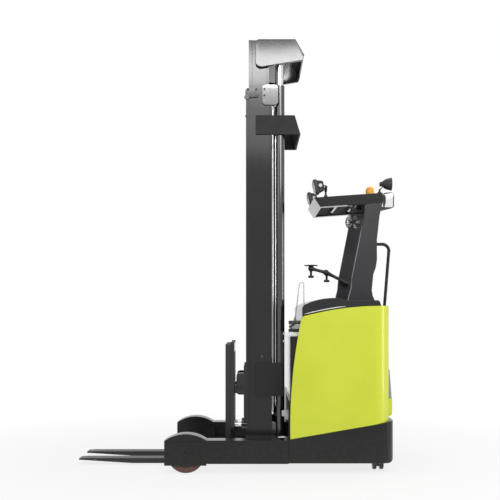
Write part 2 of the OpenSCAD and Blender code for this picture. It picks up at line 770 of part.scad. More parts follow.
// Lamps, beacon, mirror, fan and terminal arm
// Columns: x of the lens face, direction of the beam, side, height
LAMPS = [[596, -1, -1, roof_front_z + 75], [596, -1, 1, roof_front_z + 75], [1204, 1, -1, roof_rear_z
    + 70]];
lamp_r = 50;
lamp_len = 66;
lens_t = 6;
module at_lamp(lamp) {
    translate([lamp[0], lamp[2] * (column_y + column_t / 2), lamp[3]])
        rotate([0, lamp[1] > 0 ? 90 : -90, 0]) children();
}
module work_lamps() {
    color(black) for (lamp = LAMPS) {
        at_lamp(lamp) difference() {
            union() {
                translate([0, 0, -30]) cylinder(r = lamp_r, h = 30);
                translate([0, 0, -lamp_len]) cylinder(r1 = 28, r2 = lamp_r, h = lamp_len - 30);
            }
            translate([0, 0, -lens_t]) cylinder(r = lamp_r - 5, h = lens_t + cut);
        }
        x = lamp[0] - lamp[1] * 48;
        y = lamp[2] * (column_y + column_t / 2);
        stem_x = min(x, roof_rear_x - 12);
        translate([stem_x, y, 0]) bar_z(9, roof_top_at(stem_x + 9), lamp[3] - 24);
        if (x > stem_x) block([stem_x - 6, y - 6, lamp[3] - 40], [x, y + 6, lamp[3] - 28]);
    }
}
module lamp_lenses() {
    color("#E8ECEE") for (lamp = LAMPS) at_lamp(lamp) translate([0, 0, -lens_t])
        cylinder(r = lamp_r - 5, h = lens_t);
}
beacon_x = 1085;
module at_beacon() { translate([beacon_x, 0, roof_top_at(roof_rear_x - roof_tail)]) children(); }
beacon_r = 35;
module beacon_base() { color(black) at_beacon() bar_z(beacon_r + 4, 0, 42); }
module beacon_dome() {
    color("#FFAA1E") at_beacon() {
        bar_z(beacon_r, 42, 70);
        intersection() { translate([0, 0, 70]) sphere(beacon_r); bar_z(beacon_r + 9, 70, 120); }
    }
}
mirror_rear_x = 1227;
mirror_turn = -12;
mirror_size = [84, 120];
mirror_depth = 28;
mirror_lip = 5;
mirror_pos = [mirror_rear_x - mirror_size[0] / 2 * cos(mirror_turn) + mirror_depth * sin(mirror_turn),
    -column_y - column_t / 2, roof_rear_z - 54];
column_knee_z = arm_top + 655;
function column_rear_at(z) = 1109
    + (roof_rear_x - 1109) * (z - column_knee_z) / (roof_low_at(roof_rear_x) - column_knee_z);
module at_mirror() { translate(mirror_pos) rotate([0, 0, mirror_turn]) children(); }
module mirror_face(lip) { round_rect(lip - mirror_size / 2, mirror_size / 2 - lip, 24 - lip[0]); }
module mirror_housing() {
    low = roof_rear_z - 136;
    high = low + 30;
    foot = mirror_pos[2] - mirror_size[1] / 2;
    color(black) {
        difference() {
            union() {
                translate([0, mirror_pos[1], 0]) side_plate(-8, 8 + mirror_depth / 2)
                    polygon([[column_rear_at(low) + 0.1, low], [column_rear_at(high) + 0.1, high],
                        [mirror_pos[0], foot + 20], [mirror_pos[0] + 30, foot + 8], [mirror_pos[0]
                            + 22, foot - 2]]);
                at_mirror() side_plate(0, mirror_depth) mirror_face([0, 0]);
            }
            at_mirror() side_plate(-30, 8) mirror_face([mirror_lip, mirror_lip]);
        }
    }
}
module mirror_glass() { color("#DDE3E6") at_mirror() side_plate(1, 8)
    mirror_face([mirror_lip, mirror_lip]); }
fan_pos = [roof_bar_x(roof_bars) + 12, -60, roof_front_z - 155];
fan_r = 66;
module fan_cage() {
    color(rubber_black) translate(fan_pos) {
        rotate([90, 0, 0]) for (z = [-32, 26]) translate([0, 0, z]) {
            difference() { cylinder(r = fan_r, h = 6); translate([0, 0, -cut])
                cylinder(r = fan_r - 6, h = 12); }
            for (a = [0:45:135]) rotate(a) translate([-fan_r + 3, -2, 1]) cube([2 * fan_r - 6, 4, 4]);
        }
        for (a = [0:60:300]) translate([(fan_r - 3) * cos(a), 0, (fan_r - 3) * sin(a)]) bar_y(3, -30, 30);
        bar_y(18, -34, -14);
        translate([-12, 26, 0]) bar_z(8, fan_r - 8, roof_low_at(roof_bar_x(roof_bars)) + 14 - fan_pos[2]);
    }
}
module fan_rotor() {
    color(steel) translate(fan_pos) {
        bar_y(16, -13.7, 12);
        for (a = [0:72:288]) rotate([0, a, 0]) translate([10, 0, 0]) rotate([30, 0, 0])
            translate([0, -2, -14]) cube([42, 4, 28]);
    }
}
// Ball arm on the right column with a round plate for a terminal
arm_base = [901, column_y, arm_top + 143];
plate_pos = [626, column_y - 60, arm_top + 302];
plate_r = 58;
module arm_bar(a, b, r) {
    d = b - a;
    translate(a) rotate([0, acos(d[2] / norm(d)), atan2(d[1], d[0])]) cylinder(r = r, h = norm(d));
}
module terminal_arm() {
    knee = [752, column_y - 60, arm_top + 243];
    root = [arm_base[0] + 30, column_y - 60, arm_base[2] + 10];
    color(black) {
        translate([root[0], 0, root[2]]) bar_y(30, column_y - 60, column_y);
        arm_bar(root, knee, 14);
        arm_bar(knee, plate_pos - [0, 0, 26], 14);
        for (p = [knee, root, plate_pos - [0, 0, 26]]) translate(p) sphere(24);
        for (p = [knee + [0, 0, -20], plate_pos + [0, 0, -46]]) translate(p) {
            bar_z(8, -60, 0);
            translate([-24, -8, -72]) cube([48, 16, 14]);
        }
        difference() {
            translate(plate_pos) bar_z(plate_r, -4, 4);
            for (x = [-19, 19], y = [-15, 15]) translate(plate_pos + [x, y, 0]) bar_z(2.75, -9, 9);
        }
        translate(plate_pos) bar_z(12, -28, -3);
    }
}

// Drive unit and caster
axle_stub_r = 26;
turntable_r = 120;
module at_drive() { translate([drive_x, drive_y, 0]) children(); }
module drive_turret() {
    arm_y = -drive_w / 2 - 8;
    color(mast_black) at_drive() {
        bar_z(turntable_r, turntable_z - 26, turntable_z);
        bar_z(motor_r, turntable_z - 1, turntable_z + 270);
        side_plate(arm_y - 34, arm_y) round_rect([-62, drive_d / 2 - 62], [62, turntable_z - 20], 50);
        translate([0, 0, drive_d / 2]) bar_y(axle_stub_r, arm_y - 10, drive_w / 2 - 6);
    }
}
module drive_hub() {
    color(steel) at_drive() translate([0, 0, drive_d / 2])
        hub_disc(drive_hub_d / 2, drive_w - 10, axle_stub_r + run_gap, 14);
}
module drive_tyre() { color(tread_brown) at_drive() translate([0, 0, drive_d / 2])
    tyre_ring(drive_hub_d / 2, drive_d / 2, drive_w, 9); }
caster_stem_r = 20;
caster_axle_r = 10;
caster_leg_t = 16;
module caster_fork() {
    color(mast_black) translate([caster_x, caster_y, 0]) {
        bar_z(46, caster_bay_top - seat_gap - 20, caster_bay_top - seat_gap);
        bar_z(caster_stem_r, caster_bay_top - 10, caster_bay_top + bay_plate_t);
        block([-caster_leg_t / 2, -caster_trail - 26, caster_d / 2 - 30],
            [caster_leg_t / 2, 26 - caster_trail, caster_bay_top - 10]);
        translate([0, -caster_trail, caster_d / 2])
            bar_x(caster_axle_r, -caster_w / 2 + 2, caster_w / 2 - 2);
    }
}
module caster_wheels() {
    wheel_w = (caster_w - caster_leg_t) / 2 - 5;
    color(rubber_black) translate([caster_x, caster_y - caster_trail, caster_d / 2])
        for (s = [-1, 1]) translate([s * (caster_w / 2 - wheel_w / 2), 0, 0]) rotate([0, 0, 90])
            tyre_ring(caster_axle_r + run_gap, caster_d / 2, wheel_w, 6);
}

// Mast
mast_y = mast_w / 2;
outer_rear_x = mast_front_x + mast_depth;
// The nested stages: step 0 is the outer, 1 the middle and 2 the inner rail
function rail_x0(i) = mast_front_x + i * (flange_t + rail_gap);
function rail_x1(i) = outer_rear_x - i * (flange_t + rail_gap);
function rail_y(i) = mast_y - i * rail_step;
// The web's outer face lies back between the lips of the flanges
web_back = 3;
lip_front = 26;
lip_rear = 16;
// One pair of channel rails, open towards each other, from z0 to z1
module rail_pair(i, z0, z1) {
    both_sides() difference() {
        block([rail_x0(i), rail_y(i) - flange_w, z0], [rail_x1(i), rail_y(i), z1]);
        block([rail_x0(i) + flange_t, rail_y(i) - flange_w - cut, z0 - cut],
            [rail_x1(i) - flange_t, rail_y(i) - web_t, z1 + cut]);
        block([rail_x0(i) + lip_front, rail_y(i) - web_back, z0 - cut],
            [rail_x1(i) - lip_rear, rail_y(i) + cut, z1 + cut]);
    }
}
// Ties across the rear flanges of one stage, at the heights given as pairs
module rail_ties(i, spans) {
    for (span = spans) block([rail_x1(i) - flange_t, -rail_y(i)
        + flange_w, span[0]], [rail_x1(i), rail_y(i) - flange_w, span[1]]);
}
// Rollers under the foot of one stage, running between the flanges of the stage around it
roller_w = 44;
module foot_rollers(i, foot) {
    r = (rail_x1(i - 1) - rail_x0(i - 1)) / 2 - flange_t - seat_gap;
    mid_x = (rail_x0(i) + rail_x1(i)) / 2;
    y_out = rail_y(i - 1) - web_t - 4;
    both_sides() {
        translate([mid_x, 0, foot - r - 4]) bar_y(r, y_out - roller_w, y_out);
        block([rail_x0(i), y_out - roller_w - 14, foot - 2 * r], [rail_x1(i), y_out - roller_w, foot + 20]);
    }
}
lift_cyl_y = mast_y - 44;
module outer_mast() {
    color(mast_black) {
        rail_pair(0, mast_foot_z, outer_top);
        rail_ties(0, [[mast_foot_z, mast_foot_z + 180], [1180, 1270], [outer_top - 320, outer_top - 200]]);
        // Roller brackets at the top of the outer rails
        both_sides() side_plate(mast_y, mast_y + 10)
            round_rect([mast_front_x - 5, outer_top - 45], [mast_front_x + 101, outer_top + 25], 20);
    }
}
yoke_t = 12;
yoke_drop = 183;
yoke_h = 148;
yoke_front_x = 160;
yoke_rear_x = 507;
yoke_rake = 45;
yoke_top = outer_top - yoke_drop;
yoke_low = yoke_top - yoke_h;
yoke_top_x = yoke_rear_x - yoke_rake;
module yoke_outline() {
    polygon([[yoke_front_x, yoke_top], [yoke_top_x, yoke_top], [yoke_rear_x, yoke_low],
        [yoke_front_x, yoke_low]]);
}
module outer_yoke() {
    color(mast_black) {
        both_sides() side_plate(mast_y, mast_y + yoke_t) yoke_outline();
        side_plate(-mast_y, mast_y) polygon([[yoke_top_x, yoke_top], [yoke_rear_x, yoke_low],
            [yoke_rear_x - yoke_t, yoke_low], [yoke_top_x - yoke_t, yoke_top]]);
    }
}
module lift_barrels() {
    color(mast_black) both_sides() {
        translate([lift_cyl_x, lift_cyl_y, 0]) difference() {
            bar_z(lift_barrel_d / 2, 240, lift_barrel_top);
            bar_z(lift_rod_d / 2 + 5, 260, lift_barrel_top - 60);
            bar_z(lift_rod_d / 2 + seat_gap, lift_barrel_top - 61, lift_barrel_top + cut);
        }
        // Rounded head plate on the rail's side
        side_plate(mast_y, mast_y + 10)
            round_rect([211, lift_barrel_top - 157], [334, lift_barrel_top], 26);
        block([300, lift_cyl_y + lift_barrel_d / 2 - 6, lift_barrel_top - 120], [330, mast_y + cut,
            lift_barrel_top - 40]);
        // Head and foot brackets on the rail
        for (z = [250, lift_barrel_top - 130]) difference() {
            block([outer_rear_x, lift_cyl_y - 20, z], [lift_cyl_x, lift_cyl_y + 20, z + 90]);
            translate([lift_cyl_x, lift_cyl_y, 0]) bar_z(lift_barrel_d / 2 - 1, 0, mast_top);
        }
    }
}
cover_x = 158;
cover_z = 548;
cover_len = 206;
cover_h = 255;
cover_t = 26;
cover_r = 16;
module mast_side_covers() {
    color(mast_black) both_sides() side_plate(mast_y, mast_y + cover_t)
        round_rect([cover_x, cover_z], [cover_x + cover_len, cover_z + cover_h], cover_r);
}
carriage_x0 = mast_front_x;
carriage_x1 = 330;
reach_roller_x = [440, 640];
module reach_carriage() {
    roller_r = slot_h / 2 - seat_gap;
    color(mast_black) {
        both_sides() {
            block([carriage_x0, mast_y, mast_foot_z], [carriage_x1, arm_out_y, mast_foot_z + 150]);
            block([carriage_x1 - cut, arm_in_y, mast_foot_z], [reach_roller_x[1] + 30, arm_out_y,
                mast_foot_z + 150]);
            for (x = reach_roller_x) translate([x, 0, slot_mid_z]) {
                bar_y(22, arm_out_y - 2, leg_in + 6);
                bar_y(roller_r, leg_in + 2, leg_in + slot_d - 5);
            }
        }
        block([outer_rear_x, -mast_y, mast_foot_z], [carriage_x1, mast_y, mast_foot_z + 130]);
    }
}
// Room between the reach cylinder's end and the chassis' rear wall
reach_barrel_room = 45;
reach_barrel_rear = bumper_x - chassis_rear_wall - reach_barrel_room;
module reach_barrel() {
    color(mast_black) translate([0, 0, reach_cyl_z]) difference() {
        bar_x(reach_barrel_d / 2, chassis_front_x, reach_barrel_rear);
        bar_x(reach_rod_d / 2 + 5, chassis_front_x + 40, reach_barrel_rear - 20);
        bar_x(reach_rod_d / 2 + seat_gap, chassis_front_x - cut, chassis_front_x + 41);
    }
}
module reach_rod() {
    color(steel) translate([0, 0, reach_cyl_z])
        bar_x(reach_rod_d / 2, carriage_x1, chassis_front_x + 60 + reach_stroke);
}
module middle_mast() {
    color(mast_black) {
        rail_pair(1, middle_foot_z, mast_top);
        rail_ties(1, [[middle_foot_z + 60, middle_foot_z + 160], [1700, 1780], [mast_top - 200,
            mast_top - 20]]);
        foot_rollers(1, middle_foot_z);
    }
}
shroud_t = 12;
shroud_top = mast_top - 1;
shroud_h = 216;
shroud_low = shroud_top - shroud_h;
shroud_front_x = 158;
shroud_top_x = 467;
shroud_tail_x = 536;
shroud_tail_drop = 124;
shroud_tail_z = mast_top - shroud_tail_drop;
module corner_off(x, z, r, up) {
    difference() {
        translate([x - cut, up ? z - r : z - cut]) square(r + cut);
        translate([x + r, up ? z - r : z + r]) circle(r);
    }
}
module shroud_outline() {
    difference() {
        polygon([[shroud_front_x, shroud_top], [shroud_top_x, shroud_top], [shroud_tail_x, shroud_tail_z],
            [shroud_tail_x - 14, shroud_tail_z - 39], [shroud_front_x + 53, shroud_low + 3],
            [shroud_front_x, shroud_low]]);
        corner_off(shroud_front_x, shroud_low, 46, false);
        corner_off(shroud_front_x, shroud_top, 34, true);
    }
}
module mast_shroud() {
    rear = [[shroud_top_x, shroud_top], [shroud_tail_x, shroud_tail_z],
        [shroud_tail_x - shroud_t, shroud_tail_z], [shroud_top_x - shroud_t, shroud_top]];
    color(mast_black) {
        both_sides() side_plate(rail_y(1), mast_y + shroud_t) shroud_outline();
        side_plate(-rail_y(1), rail_y(1)) polygon(rear);
        // Head beam that the lift rods push on
        block([rail_x1(1), -rail_y(1), mast_top - 185], [lift_cyl_x + 40, rail_y(1), mast_top - 125]);
    }
}
module lift_rods() {
    color(steel) both_sides() translate([lift_cyl_x, lift_cyl_y, 0])
        bar_z(lift_rod_d / 2, lift_barrel_top - lift_stroke - 100, mast_top - 185);
}
inner_y = rail_y(2) - flange_w;
module inner_mast() {
    color(mast_black) {
        rail_pair(2, inner_foot_z, mast_top);
        rail_ties(2, [[inner_foot_z + 20, inner_foot_z + 120], [1300, 1360], [mast_top - 120, mast_top]]);
        foot_rollers(2, inner_foot_z);
    }
}
free_x = (rail_x0(2) + rail_x1(2)) / 2;
module free_lift_barrel() {
    color(mast_black) translate([free_x, 0, 0]) difference() {
        union() {
            bar_z(free_barrel_d / 2, inner_foot_z + 20, free_barrel_top);
            for (z = [inner_foot_z + 40, 1310])
                block([0, -30, z], [rail_x1(2) - flange_t - free_x, 30, z + 40]);
        }
        bar_z(free_rod_d / 2 + 5, inner_foot_z + 50, free_barrel_top - 60);
        bar_z(free_rod_d / 2 + seat_gap, free_barrel_top - 61, free_barrel_top + cut);
    }
}
sheave_y = 70;
chain_t = 14;
chain_w = 26;
module chain_crosshead() {
    color(steel) translate([free_x, 0, 0]) {
        bar_z(free_rod_d / 2, free_barrel_top - free_stroke - 60, sheave_z);
        translate([-24, -sheave_y - 30, sheave_z - 24]) cube([48, 2 * sheave_y + 60, 48]);
        for (s = [-1, 1]) translate([0, s * sheave_y, sheave_z]) {
            bar_y(sheave_r - chain_t / 2, -chain_w / 2 - 6, chain_w / 2 + 6);
            rotate([90, 0, 0]) rotate_extrude(angle = 180)
                translate([sheave_r - chain_t / 2, -chain_w / 2]) square([chain_t, chain_w]);
        }
    }
}
module chain_run(x, z0, z1) {
    for (s = [-1, 1]) block([x - chain_t / 2, s * sheave_y - chain_w / 2, z0], [x + chain_t / 2,
        s * sheave_y + chain_w / 2, z1]);
}
anchor_z = 480;
rear_anchor_z = 1360;
module chain_front_runs() { color(steel) chain_run(free_x - sheave_r, anchor_z, sheave_z); }
module chain_rear_runs() { color(steel) chain_run(free_x + sheave_r, rear_anchor_z, sheave_z); }

// Lift carriage, tilting fork carriage and forks
lift_plate_y = rail_y(2) - flange_w - 22;
bracket_w = 60;
tilt_pin_r = tilt_pin_d / 2;
lift_front_x = 66;
lift_rear_x = lift_front_x + 24;
module lift_carriage() {
    roller_r = (rail_x1(2) - rail_x0(2)) / 2 - flange_t - seat_gap;
    color(mast_black) difference() {
        union() {
            both_sides() {
                block([lift_front_x, lift_plate_y - 20, 380], [free_x + 20, lift_plate_y, 780]);
                for (z = [512, 740]) translate([free_x, 0, z]) {
                    bar_y(14, lift_plate_y - 10, rail_y(2) - web_t - 4);
                    bar_y(roller_r, rail_y(2) - web_t - 40, rail_y(2) - web_t - 4);
                }
            }
            for (z = [400, 680]) block([lift_front_x, -lift_plate_y, z], [lift_rear_x, lift_plate_y, z
                + 80]);
            // Chain anchors
            for (s = [-1, 1]) block([lift_rear_x - 1, s * sheave_y - 20, anchor_z - 40],
                [free_x - sheave_r + 10, s * sheave_y + 20, anchor_z]);
            // Pivot brackets
            both_sides() for (y = [lift_plate_y - bracket_w, lift_plate_y - 20])
                side_plate(y, y + 20) round_rect([tilt_x - 26, tilt_z - 60], [lift_rear_x, tilt_z
                    + 110], 26);
        }
        both_sides() translate([tilt_x, 0, tilt_z])
            bar_y(tilt_pin_r + run_gap, lift_plate_y - bracket_w - cut, lift_plate_y + cut);
    }
}
tilt_cyl_y = 95;
tilt_barrel_r = 30;
tilt_rod_r = 16;
module tilt_barrels() {
    color(mast_black) both_sides() translate([0, tilt_cyl_y, tilt_cyl_z]) {
        difference() {
            bar_x(tilt_barrel_r, lift_front_x - 20, lift_front_x + 70);
            bar_x(tilt_rod_r + seat_gap, lift_front_x - 20 - cut, lift_front_x + 56);
        }
        block([lift_front_x, -30, tilt_barrel_r - 6], [lift_rear_x, 30, 400 - tilt_cyl_z]);
    }
}
frame_x0 = fork_face_x + fork_t;
frame_x1 = frame_x0 + 30;
module tilt_rods() {
    color(steel) both_sides() translate([0, tilt_cyl_y, tilt_cyl_z])
        bar_x(tilt_rod_r, frame_x1 + 1.5, lift_front_x + 30);
}
module fork_frame() {
    outer = fork_spread / 2 + fork_w / 2;
    boss_y0 = lift_plate_y - bracket_w + 20 + seat_gap;
    boss_y1 = lift_plate_y - 20 - seat_gap;
    color(mast_black) {
        for (z = [230, 560, 880]) block([frame_x0, -outer, z], [frame_x1, outer, z + 70]);
        both_sides() {
            block([frame_x0, outer - 40, 200], [frame_x1, outer, carriage_top]);
            block([frame_x0, boss_y0, tilt_z - 50], [tilt_x, boss_y1, tilt_z + 20]);
            translate([tilt_x, 0, tilt_z]) bar_y(26, boss_y0, boss_y1);
            translate([tilt_x, 0, tilt_z]) bar_y(tilt_pin_r, lift_plate_y - bracket_w, lift_plate_y);
        }
    }
}
module fork_outline() {
    tip_x = fork_face_x - fork_len;
    top = fork_bottom + fork_t;
    polygon([[frame_x0, fork_bottom], [frame_x0, carriage_top - 18], [fork_face_x, carriage_top - 18],
        [fork_face_x, top],
        [tip_x + 60, top], [tip_x, top - 4], [tip_x, top - fork_tip_t], [tip_x + 420, fork_bottom]]);
}
module forks() {
    color(rubber_black) for (s = [-1, 1])
        side_plate(s * fork_spread / 2 - fork_w / 2, s * fork_spread / 2 + fork_w / 2) fork_outline();
}

chassis_frame();
straddle_legs();
wheel_guards();
load_axles();
side_panel_left();
side_panel_right();
hood();
hood_trim();
rear_pads();
battery();
battery_connector();
cable_loop();
compartment_walls();
operator_floor();
floor_mat();
guard_columns();
overhead_guard();
grab_rail();
work_lamps();
lamp_lenses();
beacon_base();
beacon_dome();
mirror_housing();
mirror_glass();
fan_cage();
fan_rotor();
terminal_arm();
control_levers();
steering_wheel();
reach_barrel();
load_hub_left();
load_tyre_left();
load_hub_right();
load_tyre_right();
drive_turret();
drive_hub();
drive_tyre();
caster_fork();
caster_wheels();
reach_carriage();
outer_mast();
outer_yoke();
lift_barrels();
mast_side_covers();
reach_rod();
middle_mast();
mast_shroud();
lift_rods();
inner_mast();
free_lift_barrel();
chain_crosshead();
chain_front_runs();
chain_rear_runs();
lift_carriage();
tilt_barrels();
tilt_rods();
fork_frame();
forks();
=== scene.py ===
# %% [markdown]
# A stand-on reach truck, dressed for a studio picture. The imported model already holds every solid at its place,
# in metres, with +X to the rear, -Y to the truck's left side and the floor at Z = 0. This lesson gives each solid
# its finish, rounds the edges that a welded or moulded part has, and adds the pieces that are easier to work out
# as surfaces than as solids: chains, lamps, wire cages, knobs and screws.

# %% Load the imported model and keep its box
import json
import math

import bmesh
import bpy
import numpy as np
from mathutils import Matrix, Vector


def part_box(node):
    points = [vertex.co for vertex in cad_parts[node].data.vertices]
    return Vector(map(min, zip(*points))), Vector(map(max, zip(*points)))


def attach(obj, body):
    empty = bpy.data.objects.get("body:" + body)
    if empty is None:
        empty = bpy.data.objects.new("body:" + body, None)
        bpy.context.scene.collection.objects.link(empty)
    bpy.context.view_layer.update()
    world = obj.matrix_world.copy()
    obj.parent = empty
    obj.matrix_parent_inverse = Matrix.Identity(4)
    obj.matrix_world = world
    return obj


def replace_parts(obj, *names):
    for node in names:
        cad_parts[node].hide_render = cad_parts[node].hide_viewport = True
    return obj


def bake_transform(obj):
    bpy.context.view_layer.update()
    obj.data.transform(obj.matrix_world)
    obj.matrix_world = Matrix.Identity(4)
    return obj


MM = 0.001
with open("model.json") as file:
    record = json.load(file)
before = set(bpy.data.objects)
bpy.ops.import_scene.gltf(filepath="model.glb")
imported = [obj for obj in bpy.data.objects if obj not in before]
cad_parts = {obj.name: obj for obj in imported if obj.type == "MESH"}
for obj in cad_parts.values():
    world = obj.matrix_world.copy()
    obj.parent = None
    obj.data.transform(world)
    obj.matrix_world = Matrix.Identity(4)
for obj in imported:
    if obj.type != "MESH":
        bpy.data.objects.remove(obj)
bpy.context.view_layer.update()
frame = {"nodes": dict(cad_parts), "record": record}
scene = bpy.context.scene

# %% [markdown]
# The photograph was taken from the left side, level, from about seven metres. A camera that is tilted up would
# make the uprights lean together. A level one keeps them parallel, so the view is moved up with the lens shift.

# %% Camera
CAMERA_AT = (0.155, -7.357, 1.205)
camera_data = bpy.data.cameras.new("camera")
camera_data.lens = 65.4
camera_data.sensor_width = 36.0
camera_data.shift_x = -0.010
camera_data.shift_y = 0.122
camera = bpy.data.objects.new("camera", camera_data)
camera.location = CAMERA_AT
camera.rotation_euler = (math.radians(90), 0, 0)
scene.collection.objects.link(camera)
scene.camera = camera
print("camera at", CAMERA_AT)

# %% [markdown]
# A few helpers carry all the finishes. Colours are written as the sRGB hex values that the eye reads, and one
# function turns them to linear light. Nodes could be placed by hand in the editor. A call that makes one node with
# its settings and its links can be read from top to bottom instead, and repeated for the next finish.

# %% Colour and node helpers
def linear(code):
    """Linear RGBA of an sRGB hex code: c / 12.92 up to 0.04045, and ((c + 0.055) / 1.055) ** 2.4 above."""
    c = np.array([int(code[i : i + 2], 16) for i in (1, 3, 5)]) / 255.0
    c = np.where(c <= 0.04045, c / 12.92, ((c + 0.055) / 1.055) ** 2.4)
    return (*c.tolist(), 1.0)


def add(tree, kind, feeds=None, **settings):
    """Adds one node. feeds gives an input's name or number a value, or another node's output."""
    node = tree.nodes.new(kind)
    for key, value in settings.items():
        setattr(node, key, value)
    for key, value in (feeds or {}).items():
        if isinstance(value, bpy.types.NodeSocket):
            tree.links.new(value, node.inputs[key])
        else:
            node.inputs[key].default_value = value
    return node


def start(name, **sockets):
    """A new material with a Principled shader: its tree, its shader and Object coordinates."""
    material = bpy.data.materials.new(name)
    material.use_nodes = True
    tree = material.node_tree
    tree.nodes.clear()
    shader = add(tree, "ShaderNodeBsdfPrincipled")
    for socket, value in sockets.items():
        shader.inputs[socket.replace("_", " ")].default_value = value
    add(tree, "ShaderNodeOutputMaterial", {"Surface": shader.outputs["BSDF"]})
    place = add(tree, "ShaderNodeTexCoord").outputs["Object"]
    return material, tree, shader, place


print("lime in linear light:", [round(v, 3) for v in linear("#C7D129")])

# %% [markdown]
# The same few steps come back in every finish: a noise of a given size, a value taken from one range to another,
# two colours mixed, and a bump. Sizes are given in millimetres on the real truck, because that is how a grain or
# the orange peel of paint is measured, and Object coordinates keep them the same on small and large pieces.

# %% Steps that the finishes share
def noise(tree, place, size_mm, detail):
    """Noise from 0 to 1 whose features are about size_mm across: 1000 / size_mm of them to a metre."""
    feeds = {"Vector": place, "Scale": 1000.0 / size_mm, "Detail": detail}
    return add(tree, "ShaderNodeTexNoise", feeds).outputs["Fac"]


def ranged(tree, value, to, of=(0.0, 1.0)):
    """A value carried in a straight line from one range to another, and held at the ends."""
    feeds = {"Value": value, "From Min": of[0], "From Max": of[1], "To Min": to[0], "To Max": to[1]}
    return add(tree, "ShaderNodeMapRange", feeds).outputs["Result"]


def reckoned(tree, operation, a, b):
    """Two values put together by one operation of the Math node."""
    return add(tree, "ShaderNodeMath", {0: a, 1: b}, operation=operation).outputs[0]


def tinted(tree, share, a, b):
    """Colours mixed as (1 - share) a + share b. The Mix node's colour inputs are 6 and 7, its output is 2."""
    return add(tree, "ShaderNodeMix", {0: share, 6: a, 7: b}, data_type="RGBA").outputs[2]


def surfaced(tree, shader, height, depth_mm, **sockets):
    """A bump of depth_mm from a height, and links to the shader's other sockets by their names."""
    bump = add(tree, "ShaderNodeBump", {"Height": height, "Distance": depth_mm * MM})
    for socket, value in {"Normal": bump.outputs["Normal"], **sockets}.items():
        tree.links.new(value, shader.inputs[socket.replace("_", " ")])


print("a grain of 4 mm has a noise scale of", 1000.0 / 4)

# %% [markdown]
# Most of the truck is painted steel: sheet for the panels, plate for the chassis and legs, rolled channels for
# the mast. Sprayed enamel has a faint orange peel some millimetres wide and a slow change of tone, and a little
# floor dust settles low down. Moulded plastic and rubber have a finer, deeper grain and no mirror. They differ in
# their measures and not in their recipe, so one function writes them all.

# %% Recipe for painted, moulded and rubber finishes
DUST = "#77736B"
DUST_TOP = 0.42
TONE_MM, SPECK_MM, SMEAR_MM = 420, 30, 90
TONE_STOPS = (0.3, 0.5, 0.7)
SMEAR = 0.15


def coated(name, tones, roughness, grain_mm, depth_mm, dust=0.10, **sockets):
    """Three tones on a slow noise, dust that fades out by DUST_TOP above the floor, roughness that varies by a
    share of SMEAR with a second noise, and a bump of grain_mm that is depth_mm deep."""
    material, tree, shader, place = start(name, **sockets)
    tone = add(tree, "ShaderNodeValToRGB", {"Fac": noise(tree, place, TONE_MM, 3.0)})
    tone.color_ramp.elements.new(TONE_STOPS[1])
    for element, position, code in zip(tone.color_ramp.elements, TONE_STOPS, tones):
        element.position = position
        element.color = linear(code)
    height = add(tree, "ShaderNodeSeparateXYZ", {"Vector": place}).outputs["Z"]
    near_floor = ranged(tree, height, (dust, 0.0), (0.0, DUST_TOP))
    dusty = reckoned(tree, "MULTIPLY", near_floor, noise(tree, place, SPECK_MM, 5.0))
    smear = noise(tree, place, SMEAR_MM, 4.0)
    surfaced(
        tree,
        shader,
        noise(tree, place, grain_mm, 2.0),
        depth_mm,
        Base_Color=tinted(tree, dusty, tone.outputs["Color"], linear(DUST)),
        Roughness=ranged(tree, smear, (roughness * (1 - SMEAR), roughness * (1 + SMEAR))),
    )
    return material


print("dust ends", DUST_TOP, "m above the floor")

# %% [markdown]
# Paint is what the eye judges first. The lime is one even coat on sheet. The blacks are not one black: each group
# of parts was primed, filled and sprayed in its own way, and it is their gloss more than their colour that sets them
# apart, except that the rails' black is darkened as painted shade and the columns' black is lifted as painted light.
# So every group has a finish of its own. The numbers are roughness, grain in mm and its depth in mm.

# %% Paints
# Lime enamel sprayed on steel sheet: an even, strong colour under a clear gloss, with a very shallow orange peel.
lime_enamel = coated(
    "lime_enamel_sprayed",
    ("#C2CD24", "#C7D129", "#CBD530"),
    0.38,
    14,
    0.05,
    Coat_Weight=0.25,
    Coat_Roughness=0.12,
)
# Black structure paint on thick plate: a dull sheen that breaks up over a coarse peel, and more floor dust.
chassis_enamel = coated(
    "black_structure_paint", ("#101011", "#141415", "#18181A"), 0.22, 10, 0.02, 0.14, Specular_IOR_Level=0.28
)
# Black gloss enamel on rolled channel: deep black that mirrors the studio's lamps in long soft bands.
mast_enamel = coated("black_gloss_enamel", ("#1A1A1B", "#1F1F20", "#242425"), 0.12, 30, 0.015)
# The rails get the same enamel with a little less gloss, and painted shade: their black is made deeper because they
# stand away from the lamps.
rail_enamel_painted_shade = coated(
    "black_enamel_painted_shade", ("#141415", "#18181A", "#1C1C1E"), 0.12, 30, 0.015, Specular_IOR_Level=0.40
)
# The overhead guard has that enamel over filled and sanded welds: so smooth that its ends mirror the floor.
guard_enamel = coated(
    "black_enamel_sanded", ("#161617", "#1A1A1B", "#1E1E1F"), 0.06, 60, 0.006, Specular_IOR_Level=0.4
)
# Satin structure paint on the guard's columns, with painted light: its black is lifted to a charcoal that stands in
# for the studio's reflection, so that the shaded far column looks as even as the near one. Little mirror.
column_satin_painted_light = coated(
    "satin_structure_painted_light", ("#29292C", "#2D2D30", "#313134"), 0.34, 12, 0.02, Specular_IOR_Level=0.28
)
# Cylinder barrels: honed tube under polished black lacquer, with the strongest mirror of all the blacks.
black_lacquer = coated(
    "black_lacquer_polished", ("#161617", "#1A1A1B", "#1E1E1F"), 0.10, 30, 0.01, Specular_IOR_Level=1.0
)
# Matt black on the mast's yoke and covers: powder coat, flat and even, that shows none of the lamps.
matt_powder_coat = coated(
    "black_powder_coat", ("#18181A", "#1C1C1E", "#202022"), 0.58, 4, 0.06, Specular_IOR_Level=0.3
)
